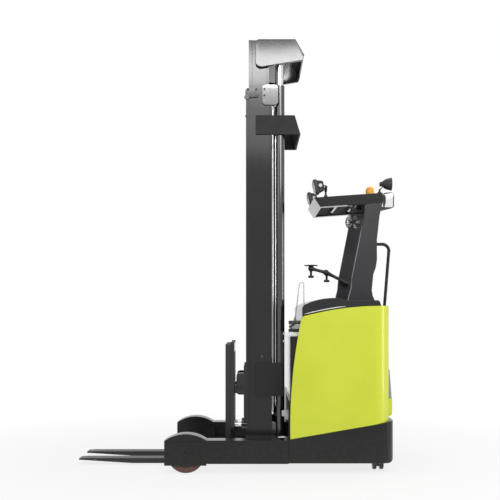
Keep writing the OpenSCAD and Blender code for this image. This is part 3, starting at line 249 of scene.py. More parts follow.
# Gloss enamel on the battery tray: pale, and a mirror at flat angles, so that its front shows nearly white.
tray_enamel = coated("pale_gloss_enamel", ("#DEDCD4", "#E5E3DB", "#EBE9E2"), 0.09, 40, 0.004, 0.1)
print("paints:", len(bpy.data.materials))

# %% [markdown]
# Plastics and rubbers come out of a mould, and take their grain from its walls. A picture of the grain could be
# wrapped round them, but a noise in the object's own space has no seams and needs no unwrapping.

# %% Plastics and rubbers
# ABS hood from a smooth tool: a sheen that turns to a mirror at flat angles, over a very fine grain. The real
# grain is under 1 mm, and is drawn 3 mm wide so that it shows.
hood_abs = coated("black_abs_grained", ("#141517", "#18191B", "#1D1E20"), 0.16, 3, 0.01, Specular_IOR_Level=0.4)
# Light grey vinyl strip: smooth, pale and a little glossy.
trim_vinyl = coated("grey_vinyl_strip", ("#C3C5C7", "#C9CBCD", "#CFD1D3"), 0.32, 18, 0.03)
# Grey moulded rubber: soft, no mirror, a slight bloom.
edge_rubber = coated("grey_rubber_moulded", ("#868892", "#8E909A", "#979AA3"), 0.62, 4, 0.15)
# Black rubber: dark, dull and slightly dusty.
black_rubber = coated("black_rubber_moulded", ("#101011", "#141415", "#19191A"), 0.70, 4, 0.20, 0.25)
# Glass-filled nylon for small mouldings: a satin black.
black_nylon = coated("black_nylon_moulded", ("#131314", "#171718", "#1C1C1D"), 0.45, 4, 0.10)
# Cast polyurethane tread: warm brown, waxy, with a soft highlight. Light enters it a little.
brown_urethane = coated(
    "brown_polyurethane_cast",
    ("#4A281D", "#573023", "#633A2C"),
    0.36,
    12,
    0.10,
    0.25,
    Subsurface_Weight=0.08,
    Subsurface_Scale=0.004,
)
# The caster's tread is cast from the same stuff with soot in it: a waxy black, grey with dust at the floor.
black_urethane = coated("black_polyurethane_cast", ("#161617", "#1B1B1C", "#212122"), 0.42, 12, 0.10, 0.3)
print("with plastics and rubbers:", len(bpy.data.materials))

# %% [markdown]
# Bare metal shows where paint would be rubbed off or must not be: cylinder rods, chains, axles, hubs and the fork
# blades' wear faces. A tool leaves marks along one direction, so the noise is stretched that way by a Mapping
# node. Metals keep the default IOR, and the colour is the metal's own tint.

# %% Bare metals
MARK_GLOSS = 0.3


def bare(name, tones, roughness, stretch, mark_mm, depth_mm):
    """Two metal tones, and a roughness that varies by a share of MARK_GLOSS, on one noise whose features are
    mark_mm wide and stretched by a factor along X, Y and Z."""
    material, tree, shader, place = start(name, Metallic=1.0)
    along = add(tree, "ShaderNodeMapping", {"Vector": place, "Scale": [1.0 / s for s in stretch]})
    marks = noise(tree, along.outputs["Vector"], mark_mm, 4.0)
    surfaced(
        tree,
        shader,
        marks,
        depth_mm,
        Base_Color=tinted(tree, marks, linear(tones[0]), linear(tones[1])),
        Roughness=ranged(tree, marks, (roughness * (1 - MARK_GLOSS), roughness * (1 + MARK_GLOSS))),
    )
    return material


# Turned steel: bright, with rings that blur the mirror. Real tool marks are 0.2 mm apart, and are drawn 2 mm wide.
turned_steel = bare("steel_turned", ("#A9AAAB", "#C6C7C8"), 0.30, (1, 1, 6), 2, 0.02)
# Hard chrome on ground rod: a near mirror with a faint haze.
hard_chrome = bare("chrome_hard_ground", ("#C9CCCE", "#DDDFE1"), 0.10, (1, 1, 8), 4, 0.01)
# Oiled spring steel of chain plates: dark, warm and greasy.
chain_steel = bare("steel_oiled", ("#54504A", "#7E7A73"), 0.38, (1, 1, 1), 5, 0.05)
# Cast iron hub, left raw from the sand: grey, rough and pitted.
sand_cast_iron = bare("iron_sand_cast", ("#4A4A4B", "#68686A"), 0.60, (1, 1, 1), 3, 0.25)
print("with metals:", len(bpy.data.materials))

# %% [markdown]
# Fork blades come black from the forge's paint line, and pallets soon polish them to bare steel near the tip. Two
# materials with a border would look cut out. The wear is one mask instead, streaks along the blade that grow
# towards the tip, and it mixes the colour and the metal together.

# %% Fork finish
STREAK_MM, STREAK_SCALE = 7, (0.06, 1.0, 1.0)
FORK_TIP_X, FORK_PLAIN_X = -1.23, -0.55
TIP_WEAR = 0.16
WORN_FROM, WORN_THROUGH = 0.80, 0.92


def worn_fork(name):
    """Black enamel and bare steel mixed by a mask: streak noise plus TIP_WEAR at the tip, which fades along X,
    taken from WORN_FROM to WORN_THROUGH."""
    material, tree, shader, place = start(name)
    along = add(tree, "ShaderNodeMapping", {"Vector": place, "Scale": STREAK_SCALE})
    streaks = noise(tree, along.outputs["Vector"], STREAK_MM, 5.0)
    where = add(tree, "ShaderNodeSeparateXYZ", {"Vector": place})
    tip = ranged(tree, where.outputs["X"], (TIP_WEAR, 0.0), (FORK_TIP_X, FORK_PLAIN_X))
    mask = ranged(tree, reckoned(tree, "ADD", streaks, tip), (0.0, 1.0), (WORN_FROM, WORN_THROUGH))
    surfaced(
        tree,
        shader,
        streaks,
        0.06,
        Base_Color=tinted(tree, mask, linear("#1A1A1B"), linear("#8D8E8F")),
        Metallic=mask,
        Roughness=ranged(tree, streaks, (0.34, 0.5)),
    )
    return material


# Forged fork: satin black with thin bright streaks that gather at the tip.
fork_enamel = worn_fork("fork_enamel_worn")
print("made", fork_enamel.name)

# %% [markdown]
# Three finishes pass or return light. A lamp's pressed glass and a beacon's polycarbonate are clear with a colour
# of their own, and a mirror is silver behind glass. Each has a slight waviness from its mould.

# %% Glass, polycarbonate and mirror
def clear(name, colour, wave_mm, depth_mm, **sockets):
    """A transmitting or mirroring shader with a shallow wave of wave_mm in its surface."""
    material, tree, shader, place = start(name, Base_Color=linear(colour), **sockets)
    surfaced(tree, shader, noise(tree, place, wave_mm, 1.0), depth_mm)
    return material


# Pressed lamp glass: clear, hard gloss, and enough body to look pale against the dark housing.
pressed_glass = clear(
    "glass_pressed",
    "#EEF2F4",
    12,
    0.10,
    Roughness=0.06,
    IOR=1.5,
    Transmission_Weight=0.55,
    Specular_IOR_Level=0.5,
)
# Amber polycarbonate: saturated orange that glows where light passes through.
amber_polycarbonate = clear(
    "polycarbonate_amber",
    "#FFB018",
    9,
    0.10,
    Roughness=0.18,
    IOR=1.58,
    Transmission_Weight=0.10,
    Subsurface_Weight=0.35,
    Subsurface_Scale=0.03,
)
# Silvered glass: a clean mirror.
silvered_glass = clear("glass_silvered", "#E8EBEC", 60, 0.002, Roughness=0.04, Metallic=1.0)
print("finishes in all:", len(bpy.data.materials))

# %% [markdown]
# The imported model says which kind of finish each solid has. A table turns these names into the finishes above, and
# a second, short one holds the black parts whose gloss differs from the rest of their kind, among them the rails
# with painted shade and the guard's columns with painted light in their black.

# %% Give each solid its finish
RAILS = ("outer_mast", "middle_mast", "inner_mast")
FINISH = {
    "lime_paint": lime_enamel,
    "body_black": chassis_enamel,
    "mast_black": mast_enamel,
    "hood_plastic": hood_abs,
    "trim_grey": trim_vinyl,
    "pad_grey": edge_rubber,
    "battery_grey": tray_enamel,
    "bright_steel": turned_steel,
    "rod_chrome": hard_chrome,
    "chain_steel": chain_steel,
    "black_rubber": black_rubber,
    "black_plastic": black_nylon,
    "wheel_polyurethane": brown_urethane,
    "caster_tread": black_urethane,
    "hub_iron": sand_cast_iron,
    "fork_steel": fork_enamel,
    "lamp_glass": pressed_glass,
    "amber_lens": amber_polycarbonate,
    "mirror_face": silvered_glass,
}
OWN_FINISH = {
    **dict.fromkeys(RAILS, rail_enamel_painted_shade),
    **dict.fromkeys(("outer_yoke", "mast_side_covers", "reach_carriage"), matt_powder_coat),
    "lift_barrels": black_lacquer,
    "overhead_guard": guard_enamel,
    "guard_columns": column_satin_painted_light,
}
SLOT_OF = {row["node"]: row["material_slot"] for row in frame["record"]["subparts"]}
for node, piece in frame["nodes"].items():
    piece.data.materials.clear()
    piece.data.materials.append(OWN_FINISH.get(node, FINISH[SLOT_OF[node]]))
print("kinds of finish:", len(FINISH), "nodes painted:", len(SLOT_OF))

# %% [markdown]
# No real edge is a knife edge. Plate is deburred, channels are rolled with radii and mouldings need them to leave
# the tool, and it is these small rounds that catch the light and draw a shape's outline. The rounds could be cut
# into the meshes for good. Modifiers leave the meshes as they are: they merge the loose triangles and round what
# is sharp.

# %% Round the edges of the solids
EDGE_ROUND_MM = 2.5
ROUND_SEGMENTS = 2
SHARP_FROM = math.radians(30)
FLAT_WITHIN = math.radians(0.2)
FINER_ROUND_MM = {
    **dict.fromkeys(RAILS, 1.2),
    "overhead_guard": 1.2,
    "lift_barrels": 1.5,
    "lift_carriage": 1.5,
    "caster_fork": 1.2,
    "chain_crosshead": 1.2,
    "grab_rail": 0.5,
    "cable_loop": 0.0,
    "mast_side_covers": 2.0,
    "mirror_housing": 0.8,
}
# Large flat sides with holes in them: their triangles are joined first, so that the rounds leave no creases.
MERGE_FLAT = ("straddle_legs", "mast_side_covers")


def rounded_edges(piece, width_mm):
    """Weld, flat faces joined where asked, bevel of every edge over SHARP_FROM and area-weighted normals."""
    weld = piece.modifiers.new("merge", "WELD")
    weld.merge_threshold = 0.001 * MM
    if piece.name in MERGE_FLAT:
        flat = piece.modifiers.new("merge_flat", "DECIMATE")
        flat.decimate_type = "DISSOLVE"
        flat.angle_limit = FLAT_WITHIN
    if width_mm:
        bevel = piece.modifiers.new("edge_round", "BEVEL")
        bevel.width = width_mm * MM
        bevel.segments = ROUND_SEGMENTS
        bevel.limit_method = "ANGLE"
        bevel.angle_limit = SHARP_FROM
        bevel.use_clamp_overlap = False
        bevel.miter_outer = "MITER_ARC"
    normals = piece.modifiers.new("even_shading", "WEIGHTED_NORMAL")
    normals.keep_sharp = False
    piece.data.polygons.foreach_set("use_smooth", np.ones(len(piece.data.polygons), bool))


for node, piece in frame["nodes"].items():
    rounded_edges(piece, FINER_ROUND_MM.get(node, EDGE_ROUND_MM))
print("rounded:", len(frame["nodes"]), "nodes,", len(FINER_ROUND_MM), "of them finer")

# %% [markdown]
# Every added piece is a grid of points: a profile turned about an axis, carried along a path, or changed from one
# outline to the next. Blender's own screw, curve and bridge tools do the same by hand. Worked out as whole arrays,
# a shape is a formula that can be read and set again. Measures are in millimetres until a piece is finished.

# %% Turned, swept and lofted surfaces
ALONG_X, ALONG_Y, ALONG_Z = (1, 0, 0), (0, 1, 0), (0, 0, 1)


def grid(points, along=False):
    """Quads over points[i, j], each row closed on itself. along joins the last row to the first, or else the first
    and the last row are capped."""
    m, n = points.shape[:2]
    i, j = np.meshgrid(np.arange(m if along else m - 1), np.arange(n), indexing="ij")
    below, beside = (i + 1) % m, (j + 1) % n
    corners = [i * n + j, below * n + j, below * n + beside, i * n + beside]
    faces = np.stack(corners, -1).reshape(-1, 4).tolist()
    if not along:
        faces += [list(range(n))[::-1], list(range((m - 1) * n, m * n))]
    return points.reshape(-1, 3), faces


def axes(direction):
    """Three unit vectors: two across the direction, and the direction itself."""
    w = np.array(direction, float) / np.linalg.norm(direction)
    u = np.cross((0.0, 0.0, 1.0) if abs(w[2]) < 0.99 else (0.0, 1.0, 0.0), w)
    u /= np.linalg.norm(u)
    return u, np.cross(w, u), w


def turned(profile, at=(0, 0, 0), direction=ALONG_Z, n=32, wave=None):
    """A profile of (radius, height) pairs turned about an axis: p = at + r cos t u + r sin t v + h w. The optional
    wave(t, h) multiplies the radius. A radius of 0 closes a pole, any other end gets a flat cap."""
    u, v, w = axes(direction)
    r, h = np.array(profile, float).T[:, :, None]
    t = np.linspace(0, 2 * np.pi, n, endpoint=False)[None, :]
    r = r * (np.ones_like(t) if wave is None else wave(t, h))
    p = (r * np.cos(t))[..., None] * u + (r * np.sin(t))[..., None] * v + h[..., None] * w
    return grid(p + np.array(at, float))


def swept(path, profile, over=ALONG_Z, along=False, n=12):
    """A closed profile of (across, over) pairs carried along a path: at each point it lies in the plane across the
    path, with its second measure turned towards over. A number instead of a profile is a round bar's radius."""
    path = np.array(path, float)
    if np.isscalar(profile):
        t = np.linspace(0, 2 * np.pi, n, endpoint=False)
        profile = profile * np.stack([np.cos(t), np.sin(t)], -1)
    profile = np.array(profile, float)
    step = np.roll(path, -1, 0) - np.roll(path, 1, 0) if along else np.gradient(path, axis=0)
    w = step / np.linalg.norm(step, axis=1, keepdims=True)
    u = np.cross(np.array(over, float), w)
    u /= np.linalg.norm(u, axis=1, keepdims=True)
    v = np.cross(w, u)
    section = profile[None, :, :1] * u[:, None] + profile[None, :, 1:] * v[:, None]
    return grid(path[:, None] + section, along)


def soft_corners(width, height, r, n=5):
    """Outline of a rectangle about its middle, with quarter circles of radius r at its corners."""
    t = (np.arange(4)[:, None] * 90 + np.linspace(0, 90, n)[None, :]) * np.pi / 180
    corner = np.array([(1, 1), (-1, 1), (-1, -1), (1, -1)]) * (np.array((width, height)) / 2 - r)
    return (corner[:, None] + r * np.stack([np.cos(t), np.sin(t)], -1)).reshape(-1, 2)


def lofted(sections, at=(0, 0, 0), direction=ALONG_Z):
    """Outlines given as (width, height, corner radius, place along the axis), joined in turn."""
    u, v, w = axes(direction)
    rows = []
    for width, height, r, place in sections:
        outline = soft_corners(width, height, r)
        rows.append(outline[:, :1] * u + outline[:, 1:] * v + place * w)
    return grid(np.stack(rows) + np.array(at, float))


print("a plain pin has", len(turned([(3, 0), (3, 20)], n=8)[1]), "faces")

# %% [markdown]
# Most fittings come in numbers: a row of links, a ring of bolts, a pipe on each side. Each is worked out once and
# its points are moved or mirrored. Bent bars and pipes have a radius at every bend, which a short curve through
# the corner gives.

# %% Copies, mirror images and bent paths
BEND_POINTS = 6


def repeated(part, places):
    """Copies of one part, moved to each of an array of places."""
    points, faces = part
    places = np.atleast_2d(np.array(places, float))
    every = (points[None] + places[:, None]).reshape(-1, 3)
    return every, [[i + k * len(points) for i in face] for k in range(len(places)) for face in faces]


def both(part):
    """A part on the truck's left side and its mirror image on the right."""
    return [part, (part[0] * (1, -1, 1), [face[::-1] for face in part[1]])]


def bend(corners, r):
    """A path through corner points, each inner corner replaced by a smooth curve that starts and ends r from it:
    (1 - t)^2 a + 2 t (1 - t) c + t^2 b."""
    corners = np.array(corners, float)
    path, t = [corners[:1]], np.linspace(0, 1, BEND_POINTS)[:, None]
    for before, c, after in zip(corners, corners[1:], corners[2:]):
        a = c + (before - c) / np.linalg.norm(before - c) * r
        b = c + (after - c) / np.linalg.norm(after - c) * r
        path.append((1 - t) ** 2 * a + 2 * t * (1 - t) * c + t**2 * b)
    return np.concatenate(path + [corners[-1:]])


print("a bend has", BEND_POINTS, "points")

# %% [markdown]
# One helper finishes every piece: parts joined, doubles merged, faces turned outward, shading split at sharp
# edges, and the body that it moves with and its finish named. A last one reads the box of a solid, so that a piece
# stands where the solid stands.

# %% From points to finished pieces
SHADE_SPLIT = math.radians(35)


def make(name, parts, slot, body=None):
    """The finished object: parts joined, in metres, with the slot's finish, riding on a body."""
    counts = np.cumsum([0] + [len(points) for points, _ in parts])
    points = np.concatenate([points for points, _ in parts]) * MM
    faces = [[i + k for i in face] for (_, part), k in zip(parts, counts.tolist()) for face in part]
    mesh = bpy.data.meshes.new(name)
    mesh.from_pydata(points.tolist(), [], faces)
    bm = bmesh.new()
    bm.from_mesh(mesh)
    bmesh.ops.remove_doubles(bm, verts=bm.verts[:], dist=0.005 * MM)
    bmesh.ops.recalc_face_normals(bm, faces=bm.faces[:])
    bm.to_mesh(mesh)
    bm.free()
    mesh.polygons.foreach_set("use_smooth", np.ones(len(mesh.polygons), bool))
    mesh.set_sharp_from_angle(angle=SHADE_SPLIT)
    mesh.materials.append(FINISH[slot])
    thing = bpy.data.objects.new(name, mesh)
    scene.collection.objects.link(thing)
    if body:
        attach(thing, body)
    print(name, len(mesh.polygons), "faces")
    return thing


def box_mm(node):
    """Low and high corner of a node's box in millimetres."""
    return [np.array(corner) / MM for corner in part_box(node)]


print("the forks reach from", [corner.round(1).tolist() for corner in box_mm("forks")])

# %% [markdown]
# Two leaf chains lift the carriage: each runs up from the carriage, over a sheave on the free-lift rod and down to
# the inner mast. A leaf chain is packs of flat links, wide and narrow by turns, threaded on pins. One link is an
# obround with a slight waist, pushed out to the pack's width, and a run is that link repeated by the pitch. The
# runs shorten as the rod rises, but here each run is built once, at rest, and is attached to no body.

# %% Leaf chains
CHAIN_PITCH = 25.4
PACK_WIDE, PACK_NARROW = 25.0, 17.0
LINK_H, LINK_LENGTH, LINK_POINTS = 13.0, CHAIN_PITCH + 10, 14
PIN_R, PIN_HALF = 3, PACK_WIDE / 2 + 0.5
RUN_INSET = 13


def link(width):
    """Obround x = h sin t, z = h cos t + s sign(cos t), h waisted by 0.88 + 0.12 cos 2t, pushed out along Y."""
    t = (np.arange(LINK_POINTS) + 0.5) / LINK_POINTS * 2 * np.pi
    h = LINK_H / 2 * (0.88 + 0.12 * np.cos(2 * t))
    straight = (LINK_LENGTH - LINK_H) / 2 * np.sign(np.cos(t))
    plate = np.stack([h * np.sin(t), 0 * t, h * np.cos(t) + straight], -1)
    return grid(np.stack([plate - (0, width / 2, 0), plate + (0, width / 2, 0)]))


def chain_run(x, y, low, high):
    """Wide and narrow links by turns from low to high, and a pin at each joint."""
    count = round((high - low) / CHAIN_PITCH)
    z = low + (np.arange(count) + 0.5) * (high - low) / count
    mid = np.stack([np.full(count, x), np.full(count, y), z], -1)
    pin = turned([(PIN_R, -PIN_HALF), (PIN_R, PIN_HALF)], direction=ALONG_Y, n=8)
    return [
        repeated(link(PACK_WIDE), mid[::2]),
        repeated(link(PACK_NARROW), mid[1::2]),
        repeated(pin, mid[:-1] + (0, 0, CHAIN_PITCH / 2)),
    ]


for node, low_body in (("chain_front_runs", "carriage"), ("chain_rear_runs", "mast_inner")):
    low, high = box_mm(node)
    x = (low[0] + high[0]) / 2
    for side, y in (("left", low[1] + RUN_INSET), ("right", high[1] - RUN_INSET)):
        run = make(node[:-5] + "_" + side, chain_run(x, y, low[2], high[2]), "chain_steel")
        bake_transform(run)
        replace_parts(run, node)

# %% [markdown]
# Two work lamps stand at the roof's front. They are square: a die-cast housing with a frame, domed glass and three
# cooling fins, tipped a little down and held at its sides by a bent strap and two tilt nuts. Boxes with bevels
# would look cut from a block, so the housing is a loft of soft-cornered outlines, and the strap is a flat profile
# carried along a bent path.

# %% Square lamp
LAMP_TIP = math.radians(13)
LAMP_SIZE = 1.3
STRAP = soft_corners(14, 4, 1.5, 3)
STRAP_BEND = 14
FIN_PITCH = 16


def square_lamp(x, y, z):
    """Housing, fins and strap of a lamp whose face is at x and looks to the front, its domed glass, the nuts that
    hold its tilt, and the point where its stem ends. All is made small and grown by LAMP_SIZE about the face."""
    way = np.array((-math.cos(LAMP_TIP), 0, -math.sin(LAMP_TIP)))
    face = np.array((x + 14, y, z + 4))
    body = [(40, 40, 12, -58), (52, 52, 14, -56), (60, 60, 14, -50), (74, 74, 14, -24), (86, 86, 14, -20)]
    body += [(88, 88, 15, -16), (88, 88, 15, -3), (86, 86, 14, 0), (78, 78, 11, 0), (76, 76, 10, -7)]
    body += [(20, 20, 4, -9)]
    glass = [(76, 76, 10, -8), (76, 76, 10, -2), (70, 70, 14, 4), (52, 52, 14, 8), (26, 26, 8, 10)]
    glass += [(6, 6, 2, 10.5)]
    fins = []
    for k, width in enumerate((66, 68, 70)):
        fin = [(width, 3, 1, -52), (width, 3, 1, -26)]
        fins.append(lofted(fin, face + (0, 0, FIN_PITCH * (k - 1)), way))
    pivot = face - way * 34
    back = pivot - way * 36
    ear, drop = np.array((0, 45, 0)), (0, 0, -8)
    hanger = [pivot + ear, back + ear + drop, back + (0, 0, -44), back - ear + drop, pivot - ear]
    strap = swept(bend(hanger, STRAP_BEND), STRAP)
    nut = [(0, 12), (8, 12), (11, 9), (11, 2), (8, 0)]
    nuts = [turned(nut, pivot + (0, s * 46, 0), (0, s, 0), 24) for s in (-1, 1)]
    groups = [lofted(body, face, way), strap] + fins, [lofted(glass, face, way)], nuts
    grown = [[(face + LAMP_SIZE * (points - face), faces) for points, faces in group] for group in groups]
    return *grown, face + LAMP_SIZE * (back + (0, 0, -38) - face)


print("square lamp:", 88 * LAMP_SIZE, "mm wide")

# %% [markdown]
# The rear lamp is a spun bell with a shallow dome of glass, held by a bent yoke. Anything spun or turned on a
# lathe is a profile turned about its axis, and the dome is a parabola: 5 (1 - (r / R)^2) proud of its rim.

# %% Bell lamp
BELL_GLASS_R, BELL_DOME = 44, 5


def bell_lamp(x, y, z):
    """A bell that opens to the rear at x, its domed glass, no tilt nuts, and the point where its stem ends."""
    bell = [(0, -92), (14, -92), (17, -89), (18, -78), (22, -70), (33, -56), (41, -40), (46, -20), (49, -6)]
    bell += [(50, 0), (47, 0), (45, -4), (BELL_GLASS_R, -9), (0, -10)]
    r = np.linspace(BELL_GLASS_R, 0, 8)
    dome = np.stack([r, -7 + BELL_DOME * (1 - (r / BELL_GLASS_R) ** 2)], -1)
    glass = np.concatenate([[(BELL_GLASS_R, -10)], dome])
    at = np.array((x, y, z))
    yoke = at + np.array([(-60, 38, -14), (-92, 26, -44), (-92, -26, -44), (-60, -38, -14)])
    shell = [turned(bell, at, ALONG_X, 48), swept(bend(yoke, STRAP_BEND), STRAP)]
    return shell, [turned(glass, at, ALONG_X, 48)], [], at + (-92, 0, -44)


print("bell lamp:", 2 * 50, "mm across")

# %% [markdown]
# Each lamp sits on a stem that is bolted through the sloping roof. The stem is a round bar with one bend, from the
# roof to the middle of the strap, and a hexagon nut stands at its foot.

# %% Lamps on the roof
lens_low, lens_high = box_mm("lamp_lenses")
_, roof_high = box_mm("overhead_guard")
LAMP_Y, LENS_R = 375.0, 45.0
ROOF_RISE = 34.0 / 527.0
STEM_R, STEM_INSET, STEM_SUNK = 7.5, 14, 6
front_z, rear_z = lens_low[2] + LENS_R, lens_high[2] - LENS_R
shells, glasses, tilt_nuts = [], [], []
for shape, x, y, z in (
    (square_lamp, lens_low[0], -LAMP_Y, front_z),
    (square_lamp, lens_low[0], LAMP_Y, front_z),
    (bell_lamp, lens_high[0], -LAMP_Y, rear_z),
):
    shell, glass, nuts, stem_top = shape(x, y, z)
    stem_x = min(stem_top[0], roof_high[0] - STEM_INSET)
    roof_z = roof_high[2] + ROOF_RISE * (stem_x - roof_high[0]) - STEM_SUNK
    path = bend([(stem_x, y, roof_z), (stem_x, y, stem_top[2] - 14), tuple(stem_top)], 5)
    stem = swept(path, STEM_R, over=ALONG_Y)
    foot_nut = turned([(0, 14), (12, 14), (14, 12), (14, 0)], (stem_x, y, roof_z + 4), n=6)
    shells += shell + [stem, foot_nut]
    glasses += glass
    tilt_nuts += nuts
make("roof_lamp_nuts", tilt_nuts, "trim_grey", "chassis")
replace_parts(make("roof_lamps", shells, "black_plastic", "chassis"), "work_lamps")
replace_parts(make("roof_lamp_glass", glasses, "lamp_glass", "chassis"), "lamp_lenses")

# %% [markdown]
# The warning beacon is a polycarbonate dome with upright flutes that spread the flash, on a ribbed rubber foot.
# Both are turned. Flutes cut one by one would need a boolean each, so they are a cosine on the dome's radius that
# starts above its foot and ends below its top.

# %% Beacon
base_low, base_high = box_mm("beacon_base")
_, dome_high = box_mm("beacon_dome")
beacon_at = ((base_low[0] + base_high[0]) / 2, 0, base_low[2])
base_h, dome_h = base_high[2] - base_low[2], dome_high[2] - base_low[2]
DOME_R, CROWN_RISE = 35, 26
FLUTES, FLUTE_DEPTH = 30, 0.022


def flutes(t, h):
    """Radius times 1 - d (1 + cos n t) / 2, which fades in over 4 mm at the foot and ends 12 mm under the top."""
    reach = np.clip((h - base_h - 4) / 4, 0, 1) * (h < dome_h - 12)
    return 1 - FLUTE_DEPTH * (1 + np.cos(FLUTES * t)) / 2 * reach


ribs = [(r, z + h) for z in (0, 16) for r, h in ((39, 0), (39, 8), (36, 10), (36, 14))]
boot = [(0, 0)] + ribs + [(39, 32), (39, 40), (37, base_h), (0, base_h)]
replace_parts(make("beacon_foot", [turned(boot, beacon_at, n=48)], "black_plastic", "chassis"), "beacon_base")
t = np.linspace(0, np.pi / 2, 10)
crown_foot = base_h + CROWN_RISE
crown = np.stack([DOME_R * np.cos(t) ** 0.8, crown_foot + (dome_h - crown_foot) * np.sin(t)], -1)
collar = [(0, base_h), (DOME_R, base_h), (DOME_R, base_h + 3), (34, base_h + 5), (34.5, base_h + 8)]
cap = turned(np.concatenate([collar, crown]), beacon_at, n=120, wave=flutes)
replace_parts(make("beacon_cap", [cap], "amber_lens", "chassis"), "beacon_dome")

# %% [markdown]
# The rear-view mirror has a convex glass, so that it shows the whole aisle. A piece cut from a ball would have a
# round outline. Here the outline is shrunk in rings to the middle, and each ring stands a little further out:
# depth = 5 (1 - s^2).

# %% Mirror glass
glass_low, glass_high = box_mm("mirror_glass")
MIRROR_TURN = math.radians(-12)
MIRROR_Y, MIRROR_W, MIRROR_CORNER = -375.0, 73, 18.5
MIRROR_RIM, MIRROR_BULGE = 7, 5
mid_x, mid_z = (glass_low[0] + glass_high[0]) / 2, (glass_low[2] + glass_high[2]) / 2
outline = soft_corners(MIRROR_W, glass_high[2] - glass_low[2] - 1, MIRROR_CORNER, 9)
s = np.linspace(1, 0, 10)
depth = np.concatenate([[MIRROR_RIM + 0.8], MIRROR_RIM - MIRROR_BULGE * (1 - s**2)])[:, None]
rings = np.concatenate([[1.0], s])[:, None, None] * outline[None]
cos_turn, sin_turn = math.cos(MIRROR_TURN), math.sin(MIRROR_TURN)
convex_x = cos_turn * rings[..., 0] - sin_turn * depth
convex_y = sin_turn * rings[..., 0] + cos_turn * depth
convex = np.stack([convex_x, convex_y, rings[..., 1]], -1) + (mid_x + 0.9, MIRROR_Y, mid_z)
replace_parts(make("convex_mirror", [grid(convex)], "mirror_face", "chassis"), "mirror_glass")

# %% [markdown]
# A small fan hangs under the roof for the operator. Its guard is two bowls of wire that meet in a rim: hoops, and
# bows that run from the hub to the rim. A wireframe of a dome would give wires of uneven width. Here each wire is
# a round bar of its own along a circle or a quarter-ellipse.

# %% Fan guard
cage_low, cage_high = box_mm("fan_cage")
fan_at = np.array(((cage_low[0] + cage_high[0]) / 2, (cage_low[1] + cage_high[1]) / 2, cage_low[2] + 66))
FAN_R, FAN_DEEP, FAN_HUB_R = 64.0, 30.0, 17
WIRE_R, RIM_WIRE_R = 1.6, 3.0
HOOP_SHARES = (0.30, 0.62, 0.88)
BOW_STEP = 20


def bowl(a):
    """Radius and depth of the bowl on a quarter-ellipse: R0 + (R - R0) sin a and D cos a."""
    return FAN_HUB_R + (FAN_R - FAN_HUB_R) * np.sin(a), FAN_DEEP * np.cos(a)


def hoop(r, y, wire_r, sides):
    """A round bar along a circle of radius r about the fan's axis, y along that axis."""
    t = np.linspace(0, 2 * np.pi, 48, endpoint=False)
    circle = np.stack([r * np.cos(t), np.full(48, y), r * np.sin(t)], -1)
    return swept(circle + fan_at, wire_r, ALONG_Y, True, sides)


wires = [hoop(FAN_R - 1, 0, RIM_WIRE_R, 8)]
for way in (-1, 1):
    for share in HOOP_SHARES:
        r, deep = bowl(share * np.pi / 2)
        wires.append(hoop(r - 1.5, way * deep, WIRE_R, 6))
    r, deep = bowl(np.linspace(0, np.pi / 2, 9))
    for angle in np.radians(np.arange(0, 360, BOW_STEP)):
        bow = np.stack([(r - 1) * math.cos(angle), way * deep, (r - 1) * math.sin(angle)], -1)
        wires.append(swept(bow + fan_at, WIRE_R, (-math.sin(angle), 0.01, math.cos(angle)), n=6))
motor = [(0, -34), (14, -34), (18, -31), (19, -28), (19, -16), (12, -14.5), (0, -14.5)]
back_plate = [(0, 27), (18, 27), (20, 29), (20, 31), (18, 33), (0, 33)]
hang = [fan_at + (-12, 26, 52), fan_at + (-12, 26, 70), (fan_at[0] - 12, fan_at[1] + 26, cage_high[2])]
wires += [turned(motor, fan_at, ALONG_Y), turned(back_plate, fan_at, ALONG_Y), swept(hang, 8.0, ALONG_Y)]
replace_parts(make("fan_guard", wires, "black_plastic", "chassis"), "fan_cage")

# %% [markdown]
# The rotor has five twisted blades on a turned hub. A blade is a thin lens-shaped section that grows and flattens
# from the hub to the tip. A twisted sheet would have no thickness, so the section is carried out as a closed ring.

# %% Fan rotor
BLADES = 5
BLADE_FROM, BLADE_LENGTH = 12, 40
PITCH_ROOT, PITCH_TWIST = 52, 28


def blade(angle):
    """Sections from r 12 to 52: an ellipse of chord by 3 mm, pitched from 52 to 24 degrees, turned by angle. The
    chord's half width is 9 + 8 sqrt(s), and 0.7 of that at the tip."""
    s = np.linspace(0, 1, 8)[:, None]
    t = np.linspace(0, 2 * np.pi, 12, endpoint=False)[None, :]
    chord = (9 + 8 * np.sqrt(s)) * np.where(s > 0.99, 0.7, 1)
    across, thick = chord * np.cos(t), 1.5 * np.sin(t)
    pitch = np.radians(PITCH_ROOT - PITCH_TWIST * s)
    a = across * np.cos(pitch) - thick * np.sin(pitch)
    y = across * np.sin(pitch) * 0.55 + thick * np.cos(pitch)
    r = BLADE_FROM + BLADE_LENGTH * s + 0 * t
    x = r * math.cos(angle) - a * math.sin(angle)
    z = r * math.sin(angle) + a * math.cos(angle)
    return grid(np.stack([x, y, z], -1) + fan_at)


rotor_hub = [(0, -13.5), (10, -13.5), (15, -10), (16, 0), (15, 8), (8, 12), (0, 12)]
rotor = [turned(rotor_hub, fan_at, ALONG_Y)] + [blade(k * 2 * np.pi / BLADES) for k in range(BLADES)]
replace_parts(make("fan_blades", rotor, "bright_steel", "fan"), "fan_rotor")

# %% [markdown]
# The controls stand on a sloping console. The small steering wheel has a moulded rim with finger grips, three
# spokes and a spinner knob. A torus would give a plain rim. Here the tube's radius has a cosine of 24 waves on the
# side that faces the hub, which gives the grips. All is turned or swept along the console's normal.

